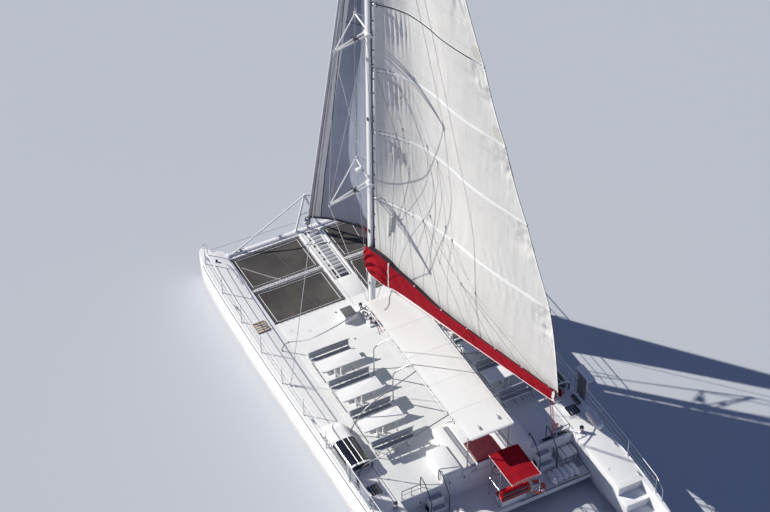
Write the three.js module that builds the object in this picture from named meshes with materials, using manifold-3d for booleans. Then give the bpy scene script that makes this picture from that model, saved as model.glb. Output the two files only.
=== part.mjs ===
import * as THREE from 'three';
import { mergeVertices } from 'three/addons/utils/BufferGeometryUtils.js';
import Module from 'manifold-3d';

const wasm = await Module();
wasm.setup();

// Sailing catamaran, millimetres. +X to the bows, +Y to port, +Z up.
// The origin is amidships on the centreline, at the waterline.

// Driving dimensions
const gap = 0.3; // between pieces that touch
const play = 8; // between a moving piece and its neighbour
const deckZ = 1500;
const lowZ = 600; // helm platform
const slabZ = 750; // underside of the bridge deck
const innerY = 3500; // inboard side of each hull
const hullMidY = 4100; // keel line of each hull
const deckFrontX = 4780;
const deckAftX = -5200;
const platformAftX = -6530;
const mastX = 3600;
const mastTopZ = 25700;
const mastHalfLong = 170;
const mastHalfWide = 120;
const houndsZ = 23100;
const gooseX = 3350; // upright axis that the boom turns about
const boomAngle = 14.9; // degrees to starboard of the centreline
const boomLength = 9350;
const boomFootZ = 3640; // underside of the boom at the gooseneck
const boomRise = 0.045; // height gained for each unit of length
const boomHalfWide = 110;
const boomHigh = 220;
const beamX = 9150;
const beamZ = 1330;
const beamR = 170;
const trackX = 8930; // aft face of the net track on the cross beam
const netZ = 1412; // underside of the nets
const netThick = 16;
const catwalkHalf = 470;
const dividerX = 6870;
const dividerHalf = 60;
const roofZ = 3520;
const roofThick = 60;
const roofFrontX = 2400;
const roofAftX = -5430;
const roofHalf = 880;
const roofTubeR = 25;
const lockerHigh = 380; // lockers that carry the roof's after posts
const canopyZ = 2600;
const canopyFrontX = -5550;
const canopyAftX = -7200;
const canopyMidY = -380;
const canopyHalf = 600;
const stayFoot = [9150, 0, 1600];
const shroudFoot = [1670, 4380, 1500];
const rudderX = -8500;
const stockR = 35;
const screwX = -7200;
const screwZ = -1060;
const screwR = 260;
const coachY = 4060; // middle of the companionway housing
const well = { aft: -3150, fore: -2050, half: 330, floorZ: 450 };
const wheel = { x: -5480, y: -380, z: 1560, r: 380 };

// Finishes
const finish = (color, roughness, metalness = 0) =>
  new THREE.MeshStandardMaterial({ color, roughness, metalness });
const gelcoat = finish(0xf2f2ef, 0.3);
const spar = finish(0xf0f0f0, 0.35);
const steel = finish(0xb8bcc0, 0.25, 0.9);
const bronze = finish(0xa98a4e, 0.4, 0.9);
const netting = finish(0x3b3c3f, 0.9);
const sailcloth = finish(0xe9e6df, 0.8);
const jibcloth = finish(0xb9bcc6, 0.8);
const canvas = finish(0xa8101c, 0.85);
const smoked = finish(0x16181c, 0.15);
const teak = finish(0x6b5138, 0.7);
const vinyl = finish(0xe4e6ea, 0.6);
const black = finish(0x1c1c1e, 0.8);

const boat = new THREE.Group();

// A closed geometry becomes a solid that can be joined and cut
function solid(geometry) {
  const bare = geometry.clone();
  bare.deleteAttribute('normal');
  bare.deleteAttribute('uv');
  const merged = mergeVertices(bare, 1e-3);
  return new wasm.Manifold(new wasm.Mesh({
    numProp: 3,
    vertProperties: new Float32Array(merged.attributes.position.array),
    triVerts: new Uint32Array(merged.index.array),
  }));
}

function geometryOf(shape) {
  const mesh = shape.getMesh();
  const geometry = new THREE.BufferGeometry();
  geometry.setAttribute('position', new THREE.BufferAttribute(new Float32Array(mesh.vertProperties), 3));
  geometry.setIndex(new THREE.BufferAttribute(new Uint32Array(mesh.triVerts), 1));
  geometry.computeVertexNormals();
  return geometry;
}

function piece(name, shape, material, group = boat) {
  const mesh = new THREE.Mesh(geometryOf(shape), material);
  mesh.name = name;
  group.add(mesh);
  return mesh;
}

const join = (shapes) => shapes.reduce((all, shape) => all.add(shape));
const cut = (shape, tools) => tools.reduce((rest, tool) => rest.subtract(tool), shape);

function box(x0, x1, y0, y1, z0, z1) {
  const geometry = new THREE.BoxGeometry(Math.abs(x1 - x0), Math.abs(y1 - y0), Math.abs(z1 - z0));
  return solid(geometry.translate((x0 + x1) / 2, (y0 + y1) / 2, (z0 + z1) / 2));
}

// A straight round bar between two points
function rod(from, to, diameter, sides = 8) {
  const a = new THREE.Vector3(...from);
  const b = new THREE.Vector3(...to);
  const along = b.clone().sub(a).normalize();
  const geometry = new THREE.CylinderGeometry(diameter / 2, diameter / 2, a.distanceTo(b), sides);
  geometry.applyQuaternion(new THREE.Quaternion().setFromUnitVectors(new THREE.Vector3(0, 1, 0), along));
  const middle = a.add(b).multiplyScalar(0.5);
  return solid(geometry.translate(middle.x, middle.y, middle.z));
}

// A round bar bent smoothly through its points
function bent(points, diameter, steps = 10, sides = 6) {
  const path = new THREE.CatmullRomCurve3(points.map((p) => new THREE.Vector3(...p)), false, 'centripetal');
  const section = new THREE.Shape();
  section.absarc(0, 0, diameter / 2, 0, 2 * Math.PI);
  return solid(new THREE.ExtrudeGeometry(section, {
    steps, curveSegments: sides / 2, bevelEnabled: false, extrudePath: path,
  }));
}

// Triangles that fill a flat ring, in the ring's own direction
function fill(ring) {
  const size = new THREE.Box3().setFromPoints(ring).getSize(new THREE.Vector3()).toArray();
  const drop = size.indexOf(Math.min(...size));
  const flat = ring.map((p) => new THREE.Vector2(...p.toArray().filter((_, k) => k !== drop)));
  const whole = THREE.ShapeUtils.area(flat);
  return THREE.ShapeUtils.triangulateShape(flat, []).map((face) =>
    (THREE.ShapeUtils.area(face.map((k) => flat[k])) * whole > 0 ? face : [...face].reverse()));
}

// Triangles that fill a thin ring whose second half runs back beside the first
const fillStrip = (ring) => Array.from({ length: ring.length / 2 - 1 }, (_, j) => [
  [j, j + 1, ring.length - 2 - j], [j, ring.length - 2 - j, ring.length - 1 - j],
]).flat();

// A closed body through rings that all have the same number of points
function loft(rings, filler = fill) {
  const count = rings[0].length;
  const points = rings.flat().map((p) => new THREE.Vector3(...p));
  const last = points.length - count;
  const faces = [
    ...filler(points.slice(0, count)).map((face) => [...face].reverse()),
    ...filler(points.slice(last)).map((face) => face.map((k) => last + k)),
  ];
  for (let i = 0; i + 1 < rings.length; i += 1) {
    for (let j = 0; j < count; j += 1) {
      const a = i * count + j;
      const b = i * count + ((j + 1) % count);
      faces.push([a, b, b + count], [a, b + count, a + count]);
    }
  }
  const volume = faces.reduce((sum, [a, b, c]) =>
    sum + points[a].dot(new THREE.Vector3().crossVectors(points[b], points[c])), 0);
  const geometry = new THREE.BufferGeometry().setFromPoints(points);
  geometry.setIndex(faces.flatMap((face) => (volume < 0 ? [...face].reverse() : face)));
  return solid(geometry);
}

// A profile of [x, z] points carried from y0 to y1
const prism = (profile, y0, y1) => loft([y0, y1].map((y) => profile.map(([x, z]) => [x, y, z])));

// A sheet of cloth: rows of points, thickened level to both sides
function sheet(rows, thickness) {
  const point = (i, j) => new THREE.Vector3(...rows[i][j]);
  const high = rows.length - 1;
  const wide = rows[0].length - 1;
  const rings = rows.map((row, i) => {
    const sides = row.map((_, j) => {
      const up = point(Math.min(i + 1, high), j).sub(point(Math.max(i - 1, 0), j));
      const along = point(i, Math.min(j + 1, wide)).sub(point(i, Math.max(j - 1, 0)));
      return along.cross(up).setZ(0).normalize().multiplyScalar(thickness / 2);
    });
    const near = row.map((_, j) => point(i, j).add(sides[j]).toArray());
    const far = row.map((_, j) => point(i, j).sub(sides[j]).toArray()).reverse();
    return [...near, ...far];
  });
  return loft(rings, fillStrip);
}

// The value of a column at a key, in a table whose first column rises from row to row
function at(table, key, column) {
  const k = Math.min(Math.max(table.findIndex((row) => row[0] >= key), 1), table.length - 1);
  const [low, high] = [table[k - 1], table[k]];
  return low[column] + ((high[column] - low[column]) * (key - low[0])) / (high[0] - low[0]);
}

const steps = (from, to, count) => Array.from({ length: count + 1 }, (_, k) => from + ((to - from) * k) / count);

// Hull stations: x, inboard y, outboard y, keel z
const hullStations = [
  [10000, 4170, 4250, 350],
  [9900, 4060, 4340, -60],
  [9650, 3800, 4430, -260],
  [9350, 3500, 4480, -400],
  [8000, 3500, 4580, -600],
  [5500, 3500, 4650, -760],
  [2500, 3500, 4690, -820],
  [-2500, 3500, 4700, -800],
  [-6000, 3500, 4700, -640],
  [-8200, 3500, 4670, -380],
  [-9300, 3540, 4600, -170],
  [-10000, 3590, 4540, 0],
];
// Hull section: share of the width from the inboard side, share of the height from the keel
const hullSection = [
  [0, 1], [0, 0.7], [0.05, 0.4], [0.14, 0.2], [0.3, 0.06], [0.5, 0],
  [0.7, 0.06], [0.86, 0.2], [0.95, 0.4], [1, 0.7], [1, 1],
];
// Stern steps: forward edge x, tread z
const sternSteps = [[-8300, 1150], [-8850, 800], [-9400, 450]];

// The hull's outline, lowered by some amount, so that what hangs under it can be trimmed to it
const hullBody = (side, lower = 0) => loft(hullStations.map(([x, inner, outer, keel]) =>
  hullSection.map(([across, up]) =>
    [x, side * (inner + across * (outer - inner)), keel + up * (deckZ - keel) - lower])));

function hull(side) {
  const treads = sternSteps.map(([x, z]) => box(x, -10100, side * 3400, side * 4440, z, deckZ + 100));
  const stairwell = box(well.aft, well.fore, side * (coachY - well.half), side * (coachY + well.half),
    well.floorZ, deckZ + 50);
  const rudderBore = rod([rudderX, side * hullMidY, -700], [rudderX, side * hullMidY, 300],
    2 * (stockR + 0.9), 16);
  const keelRing = [[1500, 0], [900, 130], [-300, 150], [-1500, 0], [-300, -150], [900, -130]];
  const keel = loft([[-620, 1, 1], [-1350, 0.72, 0.7]].map(([z, long, thick]) =>
    keelRing.map(([x, y]) => [x * long, side * hullMidY + y * thick, z])));
  return cut(hullBody(side).add(keel), [...treads, stairwell, rudderBore]);
}

// Rudder: a blade under the hull on an upright stock
function rudder(side) {
  const y = side * hullMidY;
  const foil = [[190, 0], [90, 42], [-150, 36], [-430, 4], [-430, -4], [-150, -36], [90, -42]];
  const blade = loft([[-430, 1], [-1350, 0.7]].map(([z, share]) =>
    foil.map(([x, w]) => [rudderX + x * share, y + w, z])));
  return blade.add(rod([rudderX, y, -1300], [rudderX, y, 280], 2 * stockR, 16));
}

// Drive leg: a fin from the hull down to a pod, with the propeller shaft out of its aft end
function driveLeg(side) {
  const y = side * hullMidY;
  const fin = box(screwX + 240, screwX + 560, y - 40, y + 40, screwZ, -450);
  const profile = [[0, -50], [22, -50], [22, 90], [70, 90], [95, 250], [95, 520], [55, 700], [0, 760]];
  const pod = new THREE.LatheGeometry(profile.map(([r, x]) => new THREE.Vector2(r, x)), 12);
  pod.rotateZ(-Math.PI / 2);
  pod.translate(screwX, y, screwZ);
  return cut(fin.add(solid(pod)), [hullBody(side, gap)]);
}

// Propeller: three twisted blades on a hub that is bored for the shaft
function propeller(side) {
  const y = side * hullMidY;
  const hub = new THREE.LatheGeometry(
    [[0, -150], [40, -110], [60, -60], [60, 80], [0, 80]].map(([r, x]) => new THREE.Vector2(r, x)), 12);
  hub.rotateZ(-Math.PI / 2);
  const blades = [0, 120, 240].map((turn) => {
    const ring = (r, chord, pitch) => [[-1, -0.12], [0, -0.3], [1, 0], [0, 0.3]].map(([u, v]) => {
      const c = Math.cos(pitch);
      const s = Math.sin(pitch);
      const p = new THREE.Vector3(chord * (u * c) - 22 * v * s, chord * (u * s) + 22 * v * c, r);
      return p.applyAxisAngle(new THREE.Vector3(1, 0, 0), THREE.MathUtils.degToRad(turn)).toArray();
    });
    return loft([ring(45, 55, 1.0), ring(150, 75, 0.7), ring(screwR, 20, 0.45)]);
  });
  const shape = join([solid(hub), ...blades]).subtract(rod([-52, 0, 0], [300, 0, 0], 45.8, 12));
  return solid(geometryOf(shape).translate(screwX, y, screwZ));
}

// Bridge deck with the lower helm platform behind it, the lockers along its after edge,
// the steps down to the platform, and the box beside the mast
function bridgeDeck() {
  const profile = [
    [deckFrontX, deckZ], [deckFrontX, deckZ - 200], [deckFrontX - 600, slabZ], [deckAftX + 500, slabZ],
    [deckAftX, lowZ - 220], [platformAftX, lowZ - 220], [platformAftX, lowZ], [deckAftX, lowZ], [deckAftX, deckZ],
  ];
  const parts = [prism(profile, -(innerY - gap), innerY - gap), box(3560, 4140, 640, 1180, deckZ - 10, deckZ + 330)];
  for (const side of [-1, 1]) {
    parts.push(box(deckAftX + 20, -3900, side * 1049, side * 1800, deckZ - 10, deckZ + 480));
    parts.push(box(deckAftX + 20, -3000, side * 650, side * 1050, deckZ - 10, deckZ + lockerHigh));
    parts.push(box(deckAftX + 10, -5460, side * 1900, side * 2500, lowZ - 10, lowZ + 600));
    parts.push(box(deckAftX + 10, -5720, side * 1900, side * 2500, lowZ - 10, lowZ + 300));
  }
  return join(parts);
}

const beamBar = (radius) => rod([beamX, -(innerY - gap), beamZ], [beamX, innerY - gap, beamZ], 2 * radius, 16);

function crossBeam() {
  return beamBar(beamR).add(box(trackX, beamX - 100, -(innerY - gap), innerY - gap, 1395, 1445));
}

// A-frame over the cross beam, with a strut to each end of it
function striker() {
  const bars = [];
  const apex = [beamX + 120, 0, deckZ + 1600];
  for (const side of [-1, 1]) {
    const foot = [beamX, side * 540, beamZ];
    const half = foot.map((v, k) => (v + apex[k]) / 2);
    bars.push(rod(foot, apex, 90), rod(half, [half[0], 0, half[2]], 50));
    bars.push(rod([beamX, side * (innerY - 120), beamZ + 60], apex, 56));
  }
  return join(bars).subtract(beamBar(beamR + gap));
}

// Gangway between the nets: side rails, rungs, a solid landing at the deck,
// and the bar that divides the nets fore and aft
function catwalk() {
  const landingX = 5950;
  const parts = [box(deckFrontX + gap, landingX, -catwalkHalf, catwalkHalf, deckZ - 60, deckZ - 10)];
  for (const side of [-1, 1]) {
    parts.push(box(deckFrontX + gap, trackX - gap, side * (catwalkHalf - 90), side * catwalkHalf, 1370, deckZ - 10));
  }
  for (const x of steps(landingX + 240, trackX - 60, 13)) {
    parts.push(box(x - 25, x + 25, -catwalkHalf + 40, catwalkHalf - 40, deckZ - 60, deckZ - 25));
  }
  parts.push(box(dividerX - dividerHalf, dividerX + dividerHalf, -(innerY - gap), innerY - gap, 1370, 1460));
  return join(parts);
}

const net = (side, aft, fore) => box(aft + gap, fore - gap,
  side * (catwalkHalf + gap), side * (innerY - gap), netZ, netZ + netThick);

// Mast: an oval section that narrows above the hounds. Rows: height z, share of the section
const mastTaper = [[deckZ + gap, 1], [houndsZ, 1], [mastTopZ, 0.6]];

const mastBody = (grow, count = 12) => loft(mastTaper.map(([z, share]) =>
  Array.from({ length: count }, (_, k) => {
    const turn = (2 * Math.PI * k) / count;
    return [
      mastX + (mastHalfLong * share + grow) * Math.cos(turn),
      (mastHalfWide * share + grow) * Math.sin(turn),
      z,
    ];
  })));

// Pad at the mast's foot with four winches and a row of clutches
function mastPad() {
  const parts = [box(2950, 4250, -430, 430, deckZ + gap, deckZ + 60)];
  for (const [x, y] of [[3150, 300], [3150, -300], [4020, 280], [4020, -280]]) {
    parts.push(rod([x, y, deckZ + 40], [x, y, deckZ + 250], 170, 12));
    parts.push(rod([x, y, deckZ + 200], [x, y, deckZ + 290], 120, 12));
  }
  parts.push(box(2980, 3080, -170, 170, deckZ + 40, deckZ + 150));
  return cut(join(parts), [mastBody(gap)]);
}

// Spreader set: swept arms to both sides, a strut forward, and bars that join their tips
function spreaders(z, reach, sweep, strut, rise) {
  const collar = rod([mastX, 0, z - 80], [mastX, 0, z + 80], 2 * (mastHalfLong + 40), 12);
  const bars = [collar];
  const nose = [mastX + strut, 0, z + rise];
  bars.push(rod([mastX, 0, z + 30], nose, 60));
  for (const side of [-1, 1]) {
    const tip = [mastX - sweep, side * reach, z];
    bars.push(rod([mastX + 110, 0, z], tip, 60), rod([mastX - 110, 0, z], tip, 60), rod(nose, tip, 44));
  }
  return cut(join(bars), [mastBody(gap)]);
}

// Shroud from the hull deck to the mast
function shroud(side) {
  const foot = [shroudFoot[0], side * shroudFoot[1], deckZ - 30];
  const plate = box(shroudFoot[0] - 60, shroudFoot[0] + 60, side * shroudFoot[1] - 12,
    side * shroudFoot[1] + 12, deckZ + gap, deckZ + 160);
  const wire = rod(foot, [mastX - 60, side * 40, houndsZ], 20, 6);
  return cut(wire.add(plate), [mastBody(gap), box(-9000, 9000, -5000, 5000, 0, deckZ + gap)]);
}

// The forestay's line, by distance from the cross beam
const stayTop = [mastX + mastHalfLong - 40, 0, houndsZ];
const stayLength = new THREE.Vector3(...stayTop).distanceTo(new THREE.Vector3(...stayFoot));
const stayAt = (s) => stayFoot.map((v, k) => v + ((stayTop[k] - v) * s) / stayLength);
const foilR = 26;

const forestay = () => cut(join([
  rod(stayAt(-200), stayTop, 2 * foilR, 8),
  rod(stayAt(200), stayAt(240), 260, 14),
  rod(stayAt(200), stayAt(420), 150, 14),
  rod(stayAt(400), stayAt(430), 260, 14),
]), [beamBar(beamR + gap), mastBody(gap)]);

// Jib leech, height by height: z, x, y
const jibLeech = [
  [2550, 4250, -1300],
  [5500, 4650, -1150],
  [8050, 4920, -950],
  [11500, 4950, -900],
  [14750, 4720, -700],
  [18000, 4380, -450],
  [21200, 3985, -130],
];
const jibLuff = { foot: 560, head: 20300 };
const jibDepth = [[0, 0.27], [0.15, 0.17], [0.6, 0.13], [1, 0.02]];

function jib() {
  const rows = steps(0, 1, 14).map((h) => {
    const luff = stayAt(jibLuff.foot + h * (jibLuff.head - jibLuff.foot));
    luff[0] -= foilR + 6.1;
    const z = jibLeech[0][0] + h * (jibLeech[jibLeech.length - 1][0] - jibLeech[0][0]);
    const leech = [at(jibLeech, z, 1), at(jibLeech, z, 2), z];
    const chord = Math.hypot(luff[0] - leech[0], luff[1] - leech[1]);
    const depth = at(jibDepth, h, 1) * chord;
    return steps(0, 1, 8).map((s) => {
      const belly = depth * 3.4 * s * (1 - s) * (1.3 - 0.6 * s);
      return [
        luff[0] + s * (leech[0] - luff[0]) + belly * 0.2,
        luff[1] + s * (leech[1] - luff[1]) - belly,
        luff[2] + s * (leech[2] - luff[2]) - (1 - h) ** 6 * 1000 * s * (1 - s),
      ];
    });
  });
  return sheet(rows, 14);
}

// Hardtop: a flat roof on a tube frame
const hardtop = () => box(roofAftX, roofFrontX, -roofHalf, roofHalf, roofZ - roofThick, roofZ);

function hardtopFrame() {
  const tubeZ = roofZ - roofThick - gap - roofTubeR;
  const edgeY = roofHalf - 60;
  const parts = [];
  for (const x of [roofFrontX - 150, -1500, roofAftX + 150]) {
    parts.push(rod([x, -edgeY, tubeZ], [x, edgeY, tubeZ], 2 * roofTubeR));
  }
  for (const side of [-1, 1]) {
    parts.push(rod([roofFrontX - 100, side * edgeY, tubeZ], [roofAftX + 100, side * edgeY, tubeZ], 2 * roofTubeR));
    const post = [deckAftX + 60, side * edgeY];
    parts.push(rod([...post, deckZ + lockerHigh + gap], [...post, tubeZ], 2 * roofTubeR));
    for (const x of [690, -800]) {
      parts.push(bent([
        [x, side * 1450, deckZ + gap], [x, side * 1450, 2600], [x - 60, side * 1400, 3000],
        [x - 290, side * edgeY, tubeZ],
      ], 2 * roofTubeR));
    }
  }
  return join(parts);
}

// Awning bows: hoops from the hull's edge up to a rail beside the roof. Rows: foot x, foot y, top x
const bows = [[3400, 3880, 2250], [-1540, 3560, -1540], [-3430, 4190, -3940]];

function awningBows(side) {
  const railY = side * (roofHalf + 60);
  const railZ = roofZ - 80;
  const parts = [rod([2500, railY, railZ], [-4400, railY, railZ], 40)];
  for (const [x, y, topX] of bows) {
    const hoop = [[0, 1, gap], [0, 1, 150], [0.15, 0.95, 520], [0.75, 0.82, 1050], [1, 0.55, 1530]];
    parts.push(bent([
      ...hoop.map(([along, out, up]) => [x + along * (topX - x), side * out * y, deckZ + up]),
      [topX, railY, railZ],
    ], 40));
  }
  return join(parts);
}

// Rows of tables and benches, tied together by two floor rails. Rows: x, kind
const seating = [
  [2150, 'bench'], [1330, 'table'], [520, 'bench'], [-320, 'table'], [-1160, 'bench'], [-2000, 'table'],
  [-2850, 'bench'],
];

function seats(side, kind) {
  const y0 = side * 1750;
  const y1 = side * 3400;
  const base = deckZ + gap;
  const parts = [];
  const railAt = kind === 'bench' ? [side * 2000, side * 3200] : [side * 2450, side * 2750];
  for (const y of railAt) {
    parts.push(box(-3050, 2350, y - 20, y + 20, base, base + 12));
  }
  for (const [x, made] of seating.filter((row) => row[1] === kind)) {
    if (made === 'table') {
      parts.push(box(x - 330, x + 330, y0, y1, deckZ + 700, deckZ + 740));
      parts.push(box(x - 60, x + 60, side * 2430, side * 2770, base, deckZ + 710));
    } else {
      parts.push(box(x - 250, x + 250, y0, y1, deckZ + 400, deckZ + 440));
      parts.push(box(x - 20, x + 20, y0, y1, deckZ + 420, deckZ + 780));
      for (const y of railAt) {
        parts.push(box(x - 200, x + 200, y - 20, y + 20, base, deckZ + 410));
      }
    }
  }
  return join(parts);
}

// Island under the roof: a locker with a padded lid at its after end
const island = () => box(deckAftX + 20, -2900, -640, 440, deckZ + gap, deckZ + 330);
const islandPad = () => box(deckAftX + 50, -4150, -620, 420, deckZ + 330 + gap, deckZ + 450);

// Section of the companionway housing and of its hood: half width, top above the deck
const arch = (side, x, half, high) => [
  [-half, 0], [-half, 0.68], [-half + 90, 0.93], [-half + 220, 1],
  [half - 220, 1], [half - 90, 0.93], [half, 0.68], [half, 0],
].map(([y, share]) => [x, side * coachY + y, deckZ + gap + share * high]);

// Companionway housing on the hull deck, open over the stairwell and aft. Rows: x, height
const coachRows = [[-800, 60], [-950, 260], [-1300, 400], [-3280, 400]];

function coachroof(side) {
  const opening = [side * (coachY - well.half), side * (coachY + well.half)];
  return cut(loft(coachRows.map(([x, high]) => arch(side, x, 430, high))), [
    box(well.aft, well.fore, ...opening, deckZ - 10, deckZ + 900),
    box(well.aft - 400, well.fore, ...opening, deckZ + 120, deckZ + 900),
  ]);
}

// Smoked hood that slides forward over the housing
function slidingHood(side) {
  const shell = (x0, x1, half, high) => loft([x0, x1].map((x) => arch(side, x, half, high)));
  const inside = 430 + play;
  return cut(shell(-3330, -1950, inside + 26, 400 + play + 26), [
    shell(-3400, -1900, inside, 400 + play),
    box(-3400, -1900, side * coachY - inside, side * coachY + inside, deckZ - 10, deckZ + 200),
  ]);
}

// Deck hatch lid, hinged along its forward edge
const hatchSize = { long: 560, wide: 520, thick: 45 };
const hatch = (x, y) => box(x - hatchSize.long / 2, x + hatchSize.long / 2,
  y - hatchSize.wide / 2, y + hatchSize.wide / 2, deckZ + gap, deckZ + hatchSize.thick);

// Guard rail: stanchions along the hull's edge with three lines
const railPosts = [9100, 7300, 5500, 3700, 1900, 100, -1700, -3500, -5300, -7100, -9000];
const railHeights = [250, 450, 650];

function guardRail(side) {
  const edge = (x) => side * (at([...hullStations].reverse(), x, 2) - 70);
  const parts = [];
  railPosts.forEach((x, k) => {
    parts.push(rod([x, edge(x), deckZ + gap], [x, edge(x), deckZ + 660], 32, 6));
    if (k > 0) {
      const last = railPosts[k - 1];
      for (const h of railHeights) {
        parts.push(rod([last + 7, edge(last), deckZ + h], [x - 7, edge(x), deckZ + h], h === 650 ? 24 : 16, 5));
      }
    }
  });
  return join(parts);
}

// Row of fenders stowed at the after edge of the helm platform, from one y to another
function fenders(y0, y1) {
  const rolls = steps(y0, y1, Math.round(Math.abs(y1 - y0) / 228)).map((y) =>
    rod([platformAftX + 60, y, lowZ + 118], [platformAftX + 700, y, lowZ + 118], 240, 8));
  const tie = box(platformAftX + 200, platformAftX + 240, y0, y1, lowZ + 100, lowZ + 140);
  return cut(join([...rolls, tie]), [box(-7000, -5000, -4000, 4000, 0, lowZ + gap)]);
}

// Life raft canister on the helm platform
const liferaft = () => box(-5720, -5240, -3450, -2780, lowZ + gap, lowZ + 420);

// Helm: bench, pedestal and wheel under a canopy
const bench = () => join([
  box(-6450, -5990, canopyMidY - 530, canopyMidY + 530, lowZ + gap, lowZ + 450),
  box(-6490, -6400, canopyMidY - 530, canopyMidY + 530, lowZ + gap, lowZ + 900),
]);

function helmPedestal() {
  const body = box(deckAftX - gap, wheel.x + 90, wheel.y - 260, wheel.y + 260, lowZ + gap, deckZ + 180);
  return body.add(rod([wheel.x + 100, wheel.y, wheel.z], [wheel.x - 60, wheel.y, wheel.z], 40, 12));
}

function helmWheel() {
  const rim = new THREE.TorusGeometry(wheel.r - 16, 16, 6, 20);
  rim.rotateY(Math.PI / 2);
  const parts = [solid(rim), rod([-35, 0, 0], [35, 0, 0], 110, 12)];
  for (const turn of [0, 72, 144, 216, 288]) {
    const a = THREE.MathUtils.degToRad(turn);
    parts.push(rod([0, 0, 0], [0, (wheel.r - 16) * Math.cos(a), (wheel.r - 16) * Math.sin(a)], 18, 6));
  }
  const whole = join(parts).subtract(rod([-100, 0, 0], [100, 0, 0], 41.9, 12));
  return solid(geometryOf(whole).translate(wheel.x - 20, wheel.y, wheel.z));
}

const canopy = () => loft([canopyFrontX, canopyAftX].map((x) => [
  [x, canopyMidY - canopyHalf, canopyZ - 50], [x, canopyMidY, canopyZ], [x, canopyMidY + canopyHalf, canopyZ - 50],
  [x, canopyMidY + canopyHalf, canopyZ - 80], [x, canopyMidY, canopyZ - 30], [x, canopyMidY - canopyHalf, canopyZ - 80],
]));

function canopyFrame() {
  const parts = [];
  const topZ = canopyZ - 110;
  const ends = [canopyFrontX - 60, canopyAftX + 60];
  for (const side of [-1, 1]) {
    const y = canopyMidY + side * (canopyHalf - 30);
    parts.push(rod([ends[0], y, topZ], [ends[1], y, topZ], 34));
    for (const x of [-5650, -6350]) {
      parts.push(rod([x, y, lowZ + gap], [x, y, topZ], 34));
    }
  }
  for (const x of ends) {
    parts.push(rod([x, canopyMidY - canopyHalf + 30, topZ], [x, canopyMidY + canopyHalf - 30, topZ], 34));
    parts.push(rod([x, canopyMidY, topZ], [x, canopyMidY, canopyZ - 31.5], 24));
  }
  return join(parts);
}

// Gooseneck: two lugs on the mast that hold the upright pin
function gooseneck() {
  const lugs = [[boomFootZ - 70, boomFootZ - 20], [boomFootZ + boomHigh + 20, boomFootZ + boomHigh + 60]];
  const parts = lugs.map(([low, high]) => box(gooseX - 45, mastX, -35, 35, low, high));
  parts.push(rod([gooseX, 0, lugs[0][0]], [gooseX, 0, lugs[1][1]], 36, 12));
  return cut(join(parts), [mastBody(gap)]);
}

// The boom and all that swings with it, laid out along the boom:
// r runs aft from the gooseneck, w to leeward
const rig = new THREE.Group();
rig.position.x = gooseX;
rig.rotation.z = Math.PI + THREE.MathUtils.degToRad(boomAngle);
boat.add(rig);

const boomLow = (r) => boomFootZ + boomRise * r;
const boomBar = (grow, r0 = 300, r1 = boomLength) => loft([r0 - grow, r1 + grow].map((r) => [
  [r, -boomHalfWide - grow, boomLow(r) - grow], [r, boomHalfWide + grow, boomLow(r) - grow],
  [r, boomHalfWide + grow, boomLow(r) + boomHigh + grow], [r, -boomHalfWide - grow, boomLow(r) + boomHigh + grow],
]));

function boom() {
  const nose = [
    rod([0, 0, boomLow(0) + 6], [0, 0, boomLow(0) + boomHigh - 6], 110, 12),
    box(0, 310, -55, 55, boomLow(0) + 30, boomLow(0) + boomHigh - 30),
  ];
  const pin = rod([0, 0, boomLow(0) - 50], [0, 0, boomLow(0) + boomHigh + 50], 37.6, 12);
  const end = box(boomLength - 10, boomLength + 120, -70, 70, boomLow(boomLength) + 20, boomLow(boomLength) + boomHigh - 20);
  return join([boomBar(0), ...nose, end]).subtract(pin);
}

// Sail bag: two side panels joined over the boom. Rows: r, top z, half width
const bagRows = [
  [380, 4880, 240], [1000, 4850, 210], [2500, 4740, 175], [4050, 4610, 165], [6600, 4460, 155],
  [9120, 4350, 150],
];
const bagPanel = 34;

function sailBag() {
  const rings = bagRows.map(([r, top, half]) => {
    const low = boomLow(r) + 90;
    const web = boomLow(r) + boomHigh + gap;
    return [
      [r, -half, low], [r, -half, top], [r, -half + bagPanel, top], [r, -half + bagPanel, web + 40],
      [r, half - bagPanel, web + 40], [r, half - bagPanel, top], [r, half, top], [r, half, low],
      [r, half - bagPanel, low], [r, half - bagPanel, web], [r, -half + bagPanel, web], [r, -half + bagPanel, low],
    ];
  });
  const collar = (radius, low, high) => rod([0, 0, low], [0, 0, high], 2 * radius, 20);
  const ring = cut(collar(478, boomLow(0) + 100, 4880), [collar(444, 0, 6000), box(0, 600, -206, 206, 0, 6000)]);
  return cut(loft(rings).add(ring), [boomBar(gap, 200)]);
}

// Mainsail leech: height z, distance from the gooseneck axis
const mainLeech = [
  [4380, 9250], [9640, 7860], [10720, 7510], [13210, 6430], [14120, 5960], [16090, 5230], [18390, 4250],
  [21500, 2760], [23600, 1700], [24900, 900],
];
const battens = [4380, 7600, 10850, 13700, 16400, 19000, 21500, 23600, 24900];
const mainTwist = 5; // degrees that the head falls off
const luffR = 62;

function mainsail() {
  const rows = battens.flatMap((z, k) => (k + 1 < battens.length ? [z, (z + battens[k + 1]) / 2] : [z]));
  const footAt = (r) => boomLow(r) + boomHigh + 2 * gap + 40;
  return sheet(rows.map((z, k) => {
    const h = (z - rows[0]) / (rows[rows.length - 1] - rows[0]);
    const chord = at(mainLeech, z, 1);
    const fall = THREE.MathUtils.degToRad(mainTwist * h);
    const full = Math.min(1, (z - rows[0]) / 4500);
    const depth = 0.085 * chord * full * full * (3 - 2 * full);
    return steps(0, 1, 10).map((s) => {
      const r = luffR + s * (chord - luffR);
      const belly = depth * 3.1 * s * (1 - s) * (1.25 - 0.5 * s);
      const height = k === 0 ? footAt(r) : z;
      return [
        r * Math.cos(fall) - belly * Math.sin(fall),
        r * Math.sin(fall) + belly * Math.cos(fall),
        height,
      ];
    });
  }), 16);
}

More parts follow.
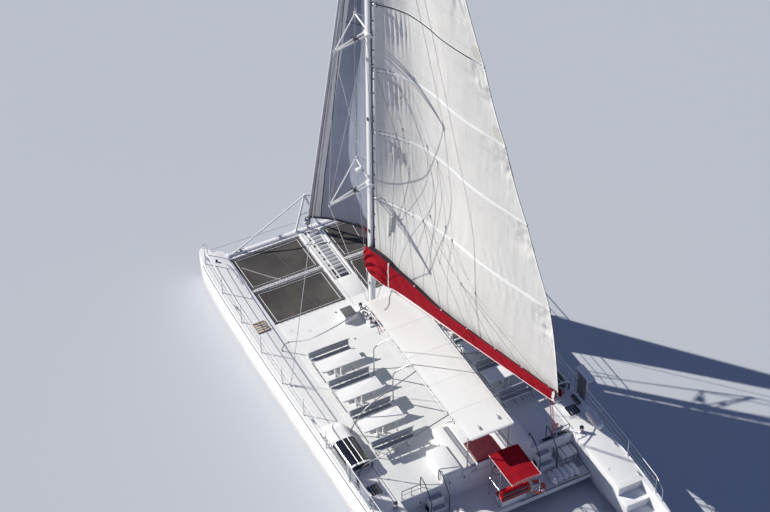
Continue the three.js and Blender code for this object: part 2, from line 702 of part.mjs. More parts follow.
for (const [side, where] of [[1, 'port'], [-1, 'starboard']]) {
  piece(`hull_${where}`, hull(side), gelcoat);
  piece(`rudder_${where}`, rudder(side), gelcoat);
  piece(`drive_leg_${where}`, driveLeg(side), gelcoat);
  piece(`propeller_${where}`, propeller(side), bronze);
  piece(`net_fore_${where}`, net(side, dividerX + dividerHalf, trackX), netting);
  piece(`net_aft_${where}`, net(side, deckFrontX, dividerX - dividerHalf), netting);
  piece(`shroud_${where}`, shroud(side), steel);
  piece(`awning_bows_${where}`, awningBows(side), steel);
  piece(`benches_${where}`, seats(side, 'bench'), vinyl);
  piece(`tables_${where}`, seats(side, 'table'), gelcoat);
  piece(`coachroof_${where}`, coachroof(side), gelcoat);
  piece(`hood_${where}`, slidingHood(side), smoked);
  piece(`hatch_fore_${where}`, hatch(4900, side * 4050), teak);
  piece(`hatch_aft_${where}`, hatch(-4300, side * 4050), smoked);
  piece(`guard_rail_${where}`, guardRail(side), steel);
}
piece('bridge_deck', bridgeDeck(), gelcoat);
piece('cross_beam', crossBeam(), spar);
piece('striker', striker(), spar);
piece('catwalk', catwalk(), gelcoat);
piece('mast', mastBody(0), spar);
piece('mast_pad', mastPad(), black);
piece('spreaders_lower', spreaders(8050, 1850, 400, 1130, 320), spar);
piece('spreaders_upper', spreaders(14750, 1500, 380, 1000, 160), spar);
piece('forestay', forestay(), steel);
piece('jib', jib(), jibcloth);
piece('hardtop', hardtop(), gelcoat);
piece('hardtop_frame', hardtopFrame(), steel);
piece('island', island(), gelcoat);
piece('island_pad', islandPad(), canvas);
piece('fenders_port', fenders(1300, 2850), vinyl);
piece('fenders_starboard', fenders(-3200, -1950), vinyl);
piece('liferaft', liferaft(), gelcoat);
piece('helm_bench', bench(), canvas);
piece('helm_pedestal', helmPedestal(), gelcoat);
piece('helm_wheel', helmWheel(), steel);
piece('canopy', canopy(), canvas);
piece('canopy_frame', canopyFrame(), spar);
piece('gooseneck', gooseneck(), steel);
piece('boom', boom(), spar, rig);
piece('sail_bag', sailBag(), canvas, rig);
piece('mainsail', mainsail(), sailcloth, rig);

export default boat;
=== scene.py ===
from math import atan2, copysign, cos, exp, hypot, pi, radians, sin

import bmesh
import bpy
import numpy as np
from mathutils import Matrix, Vector, noise


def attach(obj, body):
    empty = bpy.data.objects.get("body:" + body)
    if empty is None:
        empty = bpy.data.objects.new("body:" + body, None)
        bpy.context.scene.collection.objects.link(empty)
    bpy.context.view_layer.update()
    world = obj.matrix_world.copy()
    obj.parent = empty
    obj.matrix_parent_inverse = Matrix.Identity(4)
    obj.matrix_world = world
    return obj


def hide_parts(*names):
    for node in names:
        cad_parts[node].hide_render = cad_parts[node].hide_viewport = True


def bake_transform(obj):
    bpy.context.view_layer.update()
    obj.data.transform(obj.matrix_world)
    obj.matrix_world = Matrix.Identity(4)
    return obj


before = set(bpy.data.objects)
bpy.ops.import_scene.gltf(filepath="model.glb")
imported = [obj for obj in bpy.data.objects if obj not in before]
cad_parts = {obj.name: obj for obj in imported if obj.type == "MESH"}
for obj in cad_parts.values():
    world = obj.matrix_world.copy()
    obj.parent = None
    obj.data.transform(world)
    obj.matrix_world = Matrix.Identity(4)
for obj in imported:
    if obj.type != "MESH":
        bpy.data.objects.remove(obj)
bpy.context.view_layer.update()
print("stage: frame loaded")


view = {
    "place": (-49.655, 27.358, 59.71),
    "offBow": 27.669,  # degrees that the view turns to starboard of the bow
    "down": 42.703,
    "roll": -0.397,
    "focalPixels": 2200.12,
    "wide": 770,
}
light = {
    "sunOffBow": 46,  # degrees to port
    "sunHigh": 32,
    "sunPower": 5.0,
    "sunSoft": 0.5,  # degrees
    "skyPower": 0.24,
    "floor": (0.52, 0.55, 0.58),
}


def addObject(name, data):
    made = bpy.data.objects.new(name, data)
    bpy.context.scene.collection.objects.link(made)
    return made


def makeCamera():
    a, e, r = (radians(view[k]) for k in ("offBow", "down", "roll"))
    ahead = Vector((cos(e) * cos(a), -cos(e) * sin(a), -sin(e)))
    right = Vector((-sin(a), -cos(a), 0))
    up = right.cross(ahead)
    side = right * cos(r) + up * sin(r)
    top = up * cos(r) - right * sin(r)
    turn = Matrix((side, top, -ahead)).transposed()
    data = bpy.data.cameras.new("view")
    data.sensor_width = 36
    data.lens = 36 * view["focalPixels"] / view["wide"]
    data.clip_end = 1000
    camera = addObject("view", data)
    camera.matrix_world = Matrix.Translation(view["place"]) @ turn.to_4x4()
    bpy.context.scene.camera = camera


def makeLight():
    a, e = radians(light["sunOffBow"]), radians(light["sunHigh"])
    toSun = Vector((cos(e) * cos(a), cos(e) * sin(a), sin(e)))
    data = bpy.data.lights.new("sun", "SUN")
    data.energy = light["sunPower"]
    data.angle = radians(light["sunSoft"])
    data.color = (1, 0.97, 0.92)
    sun = addObject("sun", data)
    sun.rotation_mode = "QUATERNION"
    sun.rotation_quaternion = toSun.to_track_quat("Z", "Y")
    world = bpy.data.worlds.new("studio")
    world.use_nodes = True
    sky = world.node_tree.nodes["Background"]
    sky.inputs["Color"].default_value = (0.36, 0.5, 1, 1)
    sky.inputs["Strength"].default_value = light["skyPower"]
    bpy.context.scene.world = world
    bpy.context.scene.view_settings.view_transform = "Standard"


hair = 0.0003  # between faces that would coincide
onDeck = 1.5003  # heights a hair above what carries a piece
onPlatform = 0.6003

makeCamera()
makeLight()
print("stage: camera and light")


class Link:  # a socket that can be used in sums
    def __init__(self, paint, socket):
        self.paint, self.socket = paint, socket

    def math(self, kind, *others):
        return self.paint.node("ShaderNodeMath", {"operation": kind}, dict(enumerate((self, *others))))

    def __add__(self, other): return self.math("ADD", other)
    def __radd__(self, other): return self.math("ADD", other)
    def __mul__(self, other): return self.math("MULTIPLY", other)
    def __rmul__(self, other): return self.math("MULTIPLY", other)
    def __sub__(self, other): return self.math("SUBTRACT", other)
    def __gt__(self, other): return self.math("GREATER_THAN", other)
    def __abs__(self): return self.math("ABSOLUTE")

    def __rsub__(self, other):
        return self.paint.node("ShaderNodeMath", {"operation": "SUBTRACT"}, {0: other, 1: self})

    def sine(self): return self.math("SINE")
    def most(self, other): return self.math("MAXIMUM", other)
    def repeat(self, step): return self.math("PINGPONG", step)

    def ramp(self, low, high):  # 0 below low, 1 above high, smooth between
        return self.paint.node("ShaderNodeMapRange", {"interpolation_type": "SMOOTHSTEP"},
                               {"Value": self, "From Min": low, "From Max": high})


class Paint:  # a material, with the Principled shader's own sockets set once
    def __init__(self, name, color, roughness=0.5, **fixed):
        self.material = bpy.data.materials.new(name)
        self.material.use_nodes = True
        self.tree = self.material.node_tree
        self.surface = self.tree.nodes["Principled BSDF"]
        self.feed("Base Color", (*color, 1))
        self.feed("Roughness", roughness)
        for socket, value in fixed.items():
            self.feed(socket.replace("_", " "), value)

    def node(self, kind, settings=None, sockets=None, output=0):
        made = self.tree.nodes.new(kind)
        for key, value in (settings or {}).items():
            setattr(made, key, value)
        for key, value in (sockets or {}).items():
            self.plug(made.inputs[key], value)
        return Link(self, made.outputs[output])

    def plug(self, socket, value):
        if isinstance(value, Link):
            self.tree.links.new(value.socket, socket)
        elif isinstance(value, (tuple, list)) and len(value) == 3 and len(socket.default_value) == 4:
            socket.default_value = (*value, 1)
        else:
            socket.default_value = value

    def feed(self, socket, value):
        self.plug(self.surface.inputs[socket], value)

    def spot(self):  # coordinates on the object, in metres
        return self.node("ShaderNodeTexCoord", output=3)

    def split(self, vector):
        parts = self.node("ShaderNodeSeparateXYZ", sockets={0: vector})
        return [Link(self, out) for out in parts.socket.node.outputs]

    def axes(self):
        return self.split(self.spot())

    def upward(self):  # how far the surface looks up
        return self.split(self.node("ShaderNodeNewGeometry", output=1))[2]

    def noise(self, scale, detail=3, stretch=(1, 1, 1)):
        where = self.node("ShaderNodeMapping", sockets={"Vector": self.spot(), "Scale": stretch})
        return self.node("ShaderNodeTexNoise", sockets={
            "Vector": where, "Scale": scale, "Detail": detail, "Roughness": 0.55})

    def cells(self, scale):
        return self.node("ShaderNodeTexVoronoi", sockets={"Vector": self.spot(), "Scale": scale})

    def mix(self, share, a, b):
        return self.node("ShaderNodeMix", {"data_type": "RGBA"}, {0: share, 6: a, 7: b}, 2)

    def bump(self, height, depth, strength=1.0):
        self.feed("Normal", self.node("ShaderNodeBump", sockets={
            "Height": height, "Distance": depth, "Strength": strength}))


def tint(color, by):
    return tuple(min(1, c * by) for c in color)


def turns(count):  # angles round a circle
    return [2 * pi * k / count for k in range(count)]


def frameAt(ahead):
    ahead = Vector(ahead).normalized()
    side = ahead.cross(Vector((0, 0, 1)) if abs(ahead.z) < 0.95 else Vector((1, 0, 0))).normalized()
    return side, side.cross(ahead).normalized()


def mirrored(middle, half, axis=1, apex=None):  # points by distance from a middle, and their mirror image
    near, far = ([(*p[:axis], middle + way * p[axis], *p[axis + 1:]) for p in half] for way in (-1, 1))
    return [*near, *([apex] if apex else []), *far[::-1]]


def glide(points, count):  # a smooth path through the points
    p = [Vector(q) for q in points]
    p = [2 * p[0] - p[1], *p, 2 * p[-1] - p[-2]]
    path = []
    for k in range(1, len(p) - 2):
        for n in range(count):
            t = n / count
            path.append(0.5 * ((2 * p[k]) + (p[k + 1] - p[k - 1]) * t
                        + (2 * p[k - 1] - 5 * p[k] + 4 * p[k + 1] - p[k + 2]) * t * t
                        + (3 * p[k] - p[k - 1] - 3 * p[k + 1] + p[k + 2]) * t ** 3))
    return [*path, p[-2]]


def glideTable(table, key):  # the table's columns at a key, smooth and without overshoot
    table = sorted(table)
    xs = np.array([row[0] for row in table], float)
    k = int(np.clip(np.searchsorted(xs, key) - 1, 0, len(xs) - 2))
    out = []
    for column in range(1, len(table[0])):
        ys = np.array([row[column] for row in table], float)
        step = np.diff(ys) / np.diff(xs)
        slope = np.concatenate([[step[0]], np.where(step[1:] * step[:-1] > 0, 2 * step[1:] * step[:-1]
                                / np.where(step[1:] + step[:-1] == 0, 1, step[1:] + step[:-1]), 0), [step[-1]]])
        wide = xs[k + 1] - xs[k]
        t = (key - xs[k]) / wide
        out.append(float((1 + 2 * t) * (1 - t) ** 2 * ys[k] + t * (1 - t) ** 2 * wide * slope[k]
                   + t * t * (3 - 2 * t) * ys[k + 1] + t * t * (t - 1) * wide * slope[k + 1]))
    return out


class Shape:  # gathers the faces of one piece
    def __init__(self, place=None):
        self.points, self.faces, self.paints, self.kinds, self.place = [], [], [], [], place

    def add(self, points, faces, paint):
        start = len(self.points)
        self.points += [self.place(p) if self.place else Vector(p) for p in points]
        if paint not in self.paints:
            self.paints.append(paint)
        self.faces += [[start + k for k in face] for face in faces]
        self.kinds += [self.paints.index(paint)] * len(faces)

    def block(self, low, high, paint, soft=0.008, steps=2):
        low, high = (Vector(v) for v in (map(min, low, high), map(max, low, high)))
        shape = bmesh.new()
        bmesh.ops.create_cube(shape, size=1)
        for v in shape.verts:
            v.co = [low[k] if v.co[k] < 0 else high[k] for k in range(3)]
        if soft:
            soft = min(soft, 0.45 * min(high - low))
            bmesh.ops.bevel(shape, geom=shape.edges[:], offset=soft, segments=steps, profile=0.5, affect="EDGES")
        self.take(shape, paint)

    def slab(self, outline, low, high, paint, soft=0.006, steps=2):  # an outline seen from above
        shape = bmesh.new()
        face = shape.faces.new([shape.verts.new((x, y, low)) for x, y in outline])
        shape.normal_update()
        if face.normal.z > 0:
            face.normal_flip()
        up = bmesh.ops.extrude_face_region(shape, geom=[face])["geom"]
        for v in up:
            if isinstance(v, bmesh.types.BMVert):
                v.co.z = high
        bmesh.ops.recalc_face_normals(shape, faces=shape.faces[:])
        if soft:
            rim = [e for e in shape.edges if abs(e.verts[0].co.z - e.verts[1].co.z) < 1e-6]
            bmesh.ops.bevel(shape, geom=rim, offset=soft, segments=steps, profile=0.5, affect="EDGES")
        self.take(shape, paint)

    def take(self, shape, paint):
        shape.verts.index_update()
        self.add([v.co.copy() for v in shape.verts], [[v.index for v in f.verts] for f in shape.faces], paint)
        shape.free()

    def loft(self, rings, paint, caps=True, closed=True):
        count = len(rings[0])
        faces = []
        for k in range(len(rings) - 1):
            for j in range(count if closed else count - 1):
                a, b = k * count + j, k * count + (j + 1) % count
                faces.append([a, b, b + count, a + count])
        if caps and closed:
            faces.append(list(range(count))[::-1])
            faces.append([(len(rings) - 1) * count + j for j in range(count)])
        self.add([p for ring in rings for p in ring], faces, paint)

    def tube(self, points, radius, paint, sides=8, steps=0, closed=False):
        path = glide(points, steps) if steps else [Vector(p) for p in points]
        rings = []
        side, up = frameAt(path[1] - path[0])
        for k, p in enumerate(path):
            before = path[k - 1 if closed or k else 0]
            after = path[(k + 1) % len(path) if closed else min(k + 1, len(path) - 1)]
            ahead = (after - before).normalized()
            side = (side - ahead * side.dot(ahead)).normalized()
            up = side.cross(ahead)
            r = radius(k / (len(path) - 1)) if callable(radius) else radius
            rings.append([p + (side * cos(t) + up * sin(t)) * r
                          for t in turns(sides)])
        if closed:
            rings.append(rings[0])
        self.loft(rings, paint, caps=not closed)

    def lathe(self, profile, paint, base=(0, 0, 0), ahead=(0, 0, 1), sides=20):  # radius, along from the base
        side, up = frameAt(ahead)
        ahead, base = Vector(ahead).normalized(), Vector(base)
        self.loft([[base + ahead * along + (side * cos(t) + up * sin(t)) * max(r, 1e-4)
                    for t in turns(sides)] for r, along in profile], paint)

    def cloth(self, rows, thick, paint):  # rows of points, thickened to both sides
        grid = [[Vector(p) for p in row] for row in rows]
        high, wide = len(grid) - 1, len(grid[0]) - 1
        rings = []
        for i, row in enumerate(grid):
            near, far = [], []
            for j, p in enumerate(row):
                up = grid[min(i + 1, high)][j] - grid[max(i - 1, 0)][j]
                along = grid[i][min(j + 1, wide)] - grid[i][max(j - 1, 0)]
                off = along.cross(up).normalized() * thick / 2
                near.append(p + off)
                far.append(p - off)
            rings.append(near + far[::-1])
        count = len(rings[0])
        self.loft(rings, paint, caps=False)
        start = len(self.points) - count * len(rings)
        ends = []
        for ring, turn in ((0, 1), (len(rings) - 1, -1)):
            for j in range(wide):
                a = start + ring * count + j
                b = start + ring * count + count - 1 - j
                ends.append([a, b, b - 1, a + 1][::turn])
        self.faces += ends
        self.kinds += [self.paints.index(paint)] * len(ends)

    def make(self, name, body="boat", nodes=(), slot=None, sharp=38, smooth=True):
        mesh = bpy.data.meshes.new(name)
        mesh.from_pydata([tuple(p) for p in self.points], [], self.faces)
        for paint in self.paints:
            mesh.materials.append(finish[paint].material)
        mesh.polygons.foreach_set("material_index", self.kinds)
        shape = bmesh.new()
        shape.from_mesh(mesh)
        bmesh.ops.remove_doubles(shape, verts=shape.verts[:], dist=1e-5)
        bmesh.ops.recalc_face_normals(shape, faces=shape.faces[:])
        shape.to_mesh(mesh)
        shape.free()
        if smooth:
            mesh.shade_smooth()
            mesh.set_sharp_from_angle(angle=radians(sharp))
        piece = addObject(name, mesh)
        if nodes:
            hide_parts(*nodes)
        if body:  # none for a piece that spans two bodies
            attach(piece, body)
        return piece


def bothSides(make):
    for side, where in ((1, "port"), (-1, "starboard")):
        make(side, where)


def gelcoatPaint(name, color, roughness=0.3):
    paint = Paint(name, color, Coat_Weight=0.25, Coat_Roughness=0.12)
    worn = paint.noise(0.9, 4).ramp(0.45, 0.75)
    streak = paint.noise(3, 2, (1, 1, 0.15)).ramp(0.5, 0.8)
    paint.feed("Base Color", paint.mix(worn * 0.5 + streak * 0.2, color, tint(color, 0.9)))
    paint.feed("Roughness", paint.noise(6, 2) * 0.12 + (roughness - 0.06))
    paint.bump(paint.noise(60, 2), 0.0006, 0.5)
    return paint


def deckPaint():  # moulded anti-slip panels with smooth margins between them
    paint = Paint("deckMoulding", (0.8, 0.8, 0.775), 0.5)
    x, y = paint.axes()[:2]
    up = paint.upward().ramp(0.8, 0.95)
    across = (y + 20).repeat(0.78)
    along = (x + 20.32).repeat(1.1)
    panel = across.ramp(0.02, 0.035) * along.ramp(0.02, 0.035) * up
    grit = paint.cells(95)
    dirt = paint.noise(1.3, 5).ramp(0.42, 0.8)
    scuff = paint.noise(9, 3, (0.3, 1, 1)).ramp(0.55, 0.75)
    grey = paint.mix(panel, (0.83, 0.83, 0.81), (0.765, 0.77, 0.75))
    paint.feed("Base Color", paint.mix(dirt * 0.35 + scuff * 0.18, grey, (0.62, 0.61, 0.57)))
    paint.feed("Roughness", panel * 0.3 + 0.34)
    paint.bump(grit * panel + paint.noise(40, 2) * 0.1, 0.0015, 0.7)
    return paint


def hullPaint():
    paint = Paint("hullGelcoat", (0.86, 0.86, 0.84), 0.25, Coat_Weight=0.4, Coat_Roughness=0.08)
    x, y, z = paint.axes()
    up = paint.upward().ramp(0.85, 0.97) * (z > 1.45)
    wet = paint.noise(1.1, 4, (0.6, 1, 2))
    below = 1 - (z + wet * 0.05).ramp(0.0, 0.02)
    boot = z.ramp(0.06, 0.065) * (1 - z.ramp(0.115, 0.12))
    streak = paint.noise(2.2, 4, (1.2, 1.2, 0.12)).ramp(0.5, 0.78)
    stain = (1 - z.ramp(0.1, 0.75)) * paint.noise(1.6, 4, (1, 1, 0.5)).ramp(0.35, 0.7)
    white = paint.mix(streak * 0.22, (0.87, 0.87, 0.855), (0.7, 0.7, 0.67))
    white = paint.mix(stain * 0.3, white, (0.6, 0.58, 0.47))
    inner = (abs(y) - 4.08)
    panel = (abs(x + 0.4).repeat(0.95)).ramp(0.02, 0.03) * abs(inner).ramp(0.46, 0.44) * up
    white = paint.mix(panel, white, (0.79, 0.79, 0.77))
    white = paint.mix(boot, white, (0.42, 0.04, 0.05))
    fouled = paint.mix(paint.noise(5, 4).ramp(0.4, 0.65), (0.035, 0.06, 0.1), (0.075, 0.1, 0.12))
    paint.feed("Base Color", paint.mix(below, white, fouled))
    paint.feed("Roughness", below * 0.5 + panel * 0.3 + paint.noise(7, 2) * 0.1 + 0.2)
    paint.feed("Coat Weight", (1 - below) * 0.4)
    paint.bump(paint.cells(95) * panel + below * paint.noise(30, 3) * 0.6 + paint.noise(0.9, 1) * 0.15,
               0.0015, 0.6)
    return paint


def sparPaint(name="sparEnamel", color=(0.84, 0.84, 0.83)):
    paint = Paint(name, color, 0.3, Coat_Weight=0.3, Coat_Roughness=0.1)
    streak = paint.noise(5, 4, (1, 1, 0.08)).ramp(0.45, 0.75)
    chip = paint.noise(45, 2).ramp(0.73, 0.78)
    paint.feed("Base Color", paint.mix(chip * 0.6, paint.mix(streak * 0.4, color, tint(color, 0.82)),
                                       (0.35, 0.35, 0.36)))
    paint.feed("Roughness", streak * 0.15 + 0.27)
    paint.bump(paint.noise(25, 2), 0.0005, 0.4)
    return paint


def steelPaint(name="polishedSteel", color=(0.66, 0.67, 0.69), roughness=0.24):
    paint = Paint(name, color, roughness, Metallic=1.0)
    smear = paint.noise(14, 4).ramp(0.3, 0.75)
    tea = paint.noise(3, 5).ramp(0.66, 0.8)
    paint.feed("Base Color", paint.mix(tea * 0.35, paint.mix(smear, color, tint(color, 0.8)), (0.42, 0.3, 0.2)))
    paint.feed("Roughness", smear * 0.16 + (roughness - 0.05))
    paint.bump(paint.noise(120, 2, (1, 1, 0.3)), 0.0002, 0.5)
    return paint


def wovenPaint(name, color, roughness=0.85, thread=420, shade=0.72, crease=0.5, sheen=0.25):
    paint = Paint(name, color, roughness, Sheen_Weight=sheen, Sheen_Roughness=0.5, Specular_IOR_Level=0.2)
    x, y, z = paint.axes()
    weave = (x * thread + z * thread).sine() * (y * thread - z * thread).sine()
    faded = paint.noise(0.8, 4).ramp(0.35, 0.75)
    fold = paint.noise(3.2, 4, (1, 1, 1.6))
    # the colour darkens where the fold noise rises: painted shade in the folds
    paint.feed("Base Color", paint.mix(fold.ramp(0.35, 0.6) * 0.4 + faded * 0.35, color, tint(color, shade)))
    paint.feed("Roughness", faded * 0.08 + (roughness - 0.04))
    paint.bump(weave * 0.06 + fold * crease + paint.noise(22, 3) * 0.12, 0.012, 0.55)
    return paint


def ropePaint(name, color, flake=(0.2, 0.2, 0.22), lay=160):
    paint = Paint(name, color, 0.8)
    x, y, z = paint.axes()
    strand = ((x + y) * lay + z * lay * 1.3).sine()
    paint.feed("Base Color", paint.mix((strand > 0.86) * 0.8 + paint.noise(8, 2) * 0.15, color, flake))
    paint.bump(strand, 0.002, 0.5)
    return paint


def plasticPaint(name, color, roughness=0.45, grain=90):
    paint = Paint(name, color, roughness)
    dust = paint.noise(4, 4).ramp(0.4, 0.75)
    paint.feed("Base Color", paint.mix(dust * 0.3, color, tuple(min(1, c * 1.25 + 0.02) for c in color)))
    paint.feed("Roughness", dust * 0.15 + (roughness - 0.05))
    paint.bump(paint.noise(grain, 3), 0.0006, 0.5)
    return paint


def cushionPaint(name, color):
    paint = Paint(name, color, 0.5, Coat_Weight=0.1, Coat_Roughness=0.35)
    pores = paint.cells(260)
    worn = paint.noise(2.2, 4).ramp(0.42, 0.72)
    paint.feed("Base Color", paint.mix(worn * 0.4, color, tint(color, 0.68)))
    paint.feed("Roughness", worn * 0.14 + 0.42)
    paint.bump(pores * 0.35 + paint.noise(7, 3), 0.004, 0.5)
    return paint


def teakPaint():
    paint = Paint("teak", (0.36, 0.25, 0.15), 0.6)
    grain = paint.noise(10, 5, (0.5, 6, 6))
    paint.feed("Base Color", paint.mix(grain.ramp(0.35, 0.65), (0.42, 0.31, 0.2), (0.22, 0.14, 0.08)))
    paint.bump(grain, 0.001, 0.6)
    return paint


def smokedPaint():  # dark panes with a film of dried salt
    paint = Paint("smokedAcrylic", (0.012, 0.014, 0.018), 0.08, Coat_Weight=1.0, Coat_Roughness=0.03)
    salt = paint.noise(2.6, 5).ramp(0.45, 0.8) * 0.6 + paint.noise(90, 3).ramp(0.62, 0.75) * 0.4
    paint.feed("Base Color", paint.mix(salt * 0.5, (0.011, 0.013, 0.017), (0.05, 0.053, 0.06)))
    paint.feed("Roughness", salt * 0.22 + 0.06)
    paint.bump(paint.noise(6, 2), 0.0008, 0.3)
    return paint


finish = {
    "hull": hullPaint(),
    "deck": deckPaint(),
    "gelcoat": gelcoatPaint("gelcoatWhite", (0.85, 0.85, 0.83)),
    "shell": gelcoatPaint("shellWhite", (0.8, 0.8, 0.79), 0.4),
    "spar": sparPaint(),
    "steel": steelPaint(),
    "tubing": steelPaint("darkSteelTubing", (0.34, 0.345, 0.36), 0.42),
    "bronze": steelPaint("propellerBronze", (0.52, 0.4, 0.2), 0.38),
    "red": wovenPaint("acrylicRed", (0.34, 0.001, 0.012), shade=0.62, sheen=0),
    "redBright": wovenPaint("acrylicBrightRed", (0.55, 0.003, 0.01), shade=0.7, sheen=0),
    # dark maroon for the leech line, partly painted shade of the leech's edge
    "leechRedShade": wovenPaint("leechRedShade", (0.16, 0.014, 0.02), crease=0.2),
    "footRed": wovenPaint("footRed", (0.85, 0.008, 0.02), shade=0.85, sheen=0),
    "greyCloth": wovenPaint("greyAcrylic", (0.13, 0.135, 0.15), crease=0.8),
    "charcoal": wovenPaint("charcoalWebbing", (0.075, 0.075, 0.085), crease=0.2),
    "whiteTape": wovenPaint("whiteTape", (0.8, 0.79, 0.76), crease=0.1),
    "rope": ropePaint("whiteRope", (0.74, 0.73, 0.69)),
    "redRope": ropePaint("redRope", (0.55, 0.03, 0.03), (0.75, 0.7, 0.68)),
    "darkRope": ropePaint("darkRope", (0.06, 0.06, 0.07), (0.3, 0.3, 0.3)),
    "black": plasticPaint("blackPlastic", (0.03, 0.03, 0.034)),
    "rubber": plasticPaint("greyRubber", (0.12, 0.12, 0.125), 0.7, 160),
    "smoked": smokedPaint(),
    # red vinyl drawn dark maroon: painted shade
    "shadedRed": cushionPaint("redVinylPaintedShade", (0.085, 0.004, 0.012)),
    # dark blue-grey: painted shade of the gap beside the island
    "gapShadeGrey": cushionPaint("greyVinylPaintedShade", (0.33, 0.345, 0.38)),
    "fender": plasticPaint("fenderVinyl", (0.72, 0.73, 0.74), 0.4, 40),
    "orange": plasticPaint("orangeShell", (0.75, 0.1, 0.03), 0.5),
    "teak": teakPaint(),
    "board": plasticPaint("greyBoard", (0.3, 0.32, 0.35), 0.6),
}
print("stage: finishes")


# hulls
hulls = {
    "deck": 1.5,
    "middle": 4.1,
    "wellMiddle": 4.06,
    "stations": [  # along, inboard, outboard, keel
        (10.0, 4.17, 4.25, 0.35), (9.9, 4.06, 4.34, -0.06), (9.65, 3.8, 4.43, -0.26), (9.35, 3.5, 4.48, -0.4),
        (8.0, 3.5, 4.58, -0.6), (5.5, 3.5, 4.65, -0.76), (2.5, 3.5, 4.69, -0.82), (-2.5, 3.5, 4.7, -0.8),
        (-6.0, 3.5, 4.7, -0.64), (-8.2, 3.5, 4.67, -0.38), (-9.3, 3.54, 4.6, -0.17), (-10.0, 3.59, 4.54, 0.0),
    ],
    "section": [  # share of the width from inboard, share of the height from the keel
        (0, 1), (0, 0.7), (0.05, 0.4), (0.14, 0.2), (0.3, 0.06), (0.5, 0), (0.7, 0.06), (0.86, 0.2),
        (0.95, 0.4), (1, 0.7), (1, 1),
    ],
    "treads": [(-8.3, 1.15), (-8.85, 0.8), (-9.4, 0.45)],  # forward edge, height
    "well": (-3.15, -2.05, 0.33, 0.45),  # after end, forward end, half width, floor
    "keel": [(1.5, 0), (0.9, 0.13), (-0.3, 0.15), (-1.5, 0), (-0.3, -0.15), (0.9, -0.13)],
}


def hullEdge(x, column):  # 0 inboard edge, 1 outboard edge, 2 keel
    return glideTable(hulls["stations"], x)[column]


def sectionPoints():
    rows = [Vector((a, u, 0)) for a, u in hulls["section"]]
    middle = glide(rows[1:-1], 4)
    return [rows[0], *middle, rows[-1]]


def cutAway(piece, cutters):
    for cutter in cutters:
        change = piece.modifiers.new("cut", "BOOLEAN")
        change.operation, change.solver, change.object = "DIFFERENCE", "EXACT", cutter
    settle(piece)
    for cutter in cutters:
        bpy.data.objects.remove(cutter)


def settle(piece):  # the modifiers' result becomes the mesh
    mesh = bpy.data.meshes.new_from_object(piece.evaluated_get(bpy.context.evaluated_depsgraph_get()))
    piece.modifiers.clear()
    piece.data = mesh
    mesh.shade_smooth()
    mesh.set_sharp_from_angle(angle=radians(38))


def cutter(low, high):
    shape = Shape()
    shape.block(low, high, "hull", soft=0)
    mesh = bpy.data.meshes.new("cutter")
    mesh.from_pydata([tuple(p) for p in shape.points], [], shape.faces)
    mesh.materials.append(finish["hull"].material)
    return addObject("cutter", mesh)


def makeHull(side, where):
    section = sectionPoints()
    shape = Shape()
    xs = sorted({*np.linspace(-10, 9.3, 42).round(3), 9.35, 9.45, 9.55, 9.65, 9.74, 9.82, 9.9, 9.95, 9.985, 10.0})
    rings = []
    for x in xs:
        inner, outer, keel = glideTable(hulls["stations"], float(x))
        rings.append([(x, side * (inner + a * (outer - inner)), keel + u * (hulls["deck"] - keel))
                      for a, u, _ in section])
    shape.loft(rings, "hull")
    piece = shape.make(f"hullShell_{where}", nodes=(f"hull_{where}",), slot="gelcoat")
    aft, fore, half, floor = hulls["well"]
    cuts = [cutter((x, side * 3.2, z), (-10.3, side * 4.44, 1.7)) for x, z in hulls["treads"]]
    middle = side * hulls["wellMiddle"]
    cuts.append(cutter((aft, middle - half, floor), (fore, middle + half, 1.7)))
    cutAway(piece, cuts)
    soft = piece.modifiers.new("soft", "BEVEL")
    soft.limit_method, soft.angle_limit, soft.width, soft.segments = "ANGLE", radians(50), 0.018, 3
    settle(piece)
    keel = Shape()
    outline = glide([(x, y, 0) for x, y in [*hulls["keel"], hulls["keel"][0]]], 5)
    keel.loft([[(p.x * long, side * hulls["middle"] + p.y * thick, z) for p in outline[:-1]]
               for z, long, thick in ((-0.6, 1, 1), (-0.95, 0.88, 0.9), (-1.3, 0.74, 0.75), (-1.35, 0.7, 0.6))],
              "hull")
    keel.make(f"stubKeel_{where}", slot="gelcoat")


bothSides(makeHull)
print("stage: hulls")


# bridge deck
deck = {
    "profile": [(4.78, 1.5), (4.78, 1.3), (4.2, 0.75), (-4.7, 0.75), (-5.2, 0.38), (-6.53, 0.38), (-6.53, 0.6),
                (-5.2, 0.6), (-5.2, 1.5)],
    "half": 3.4997,
}


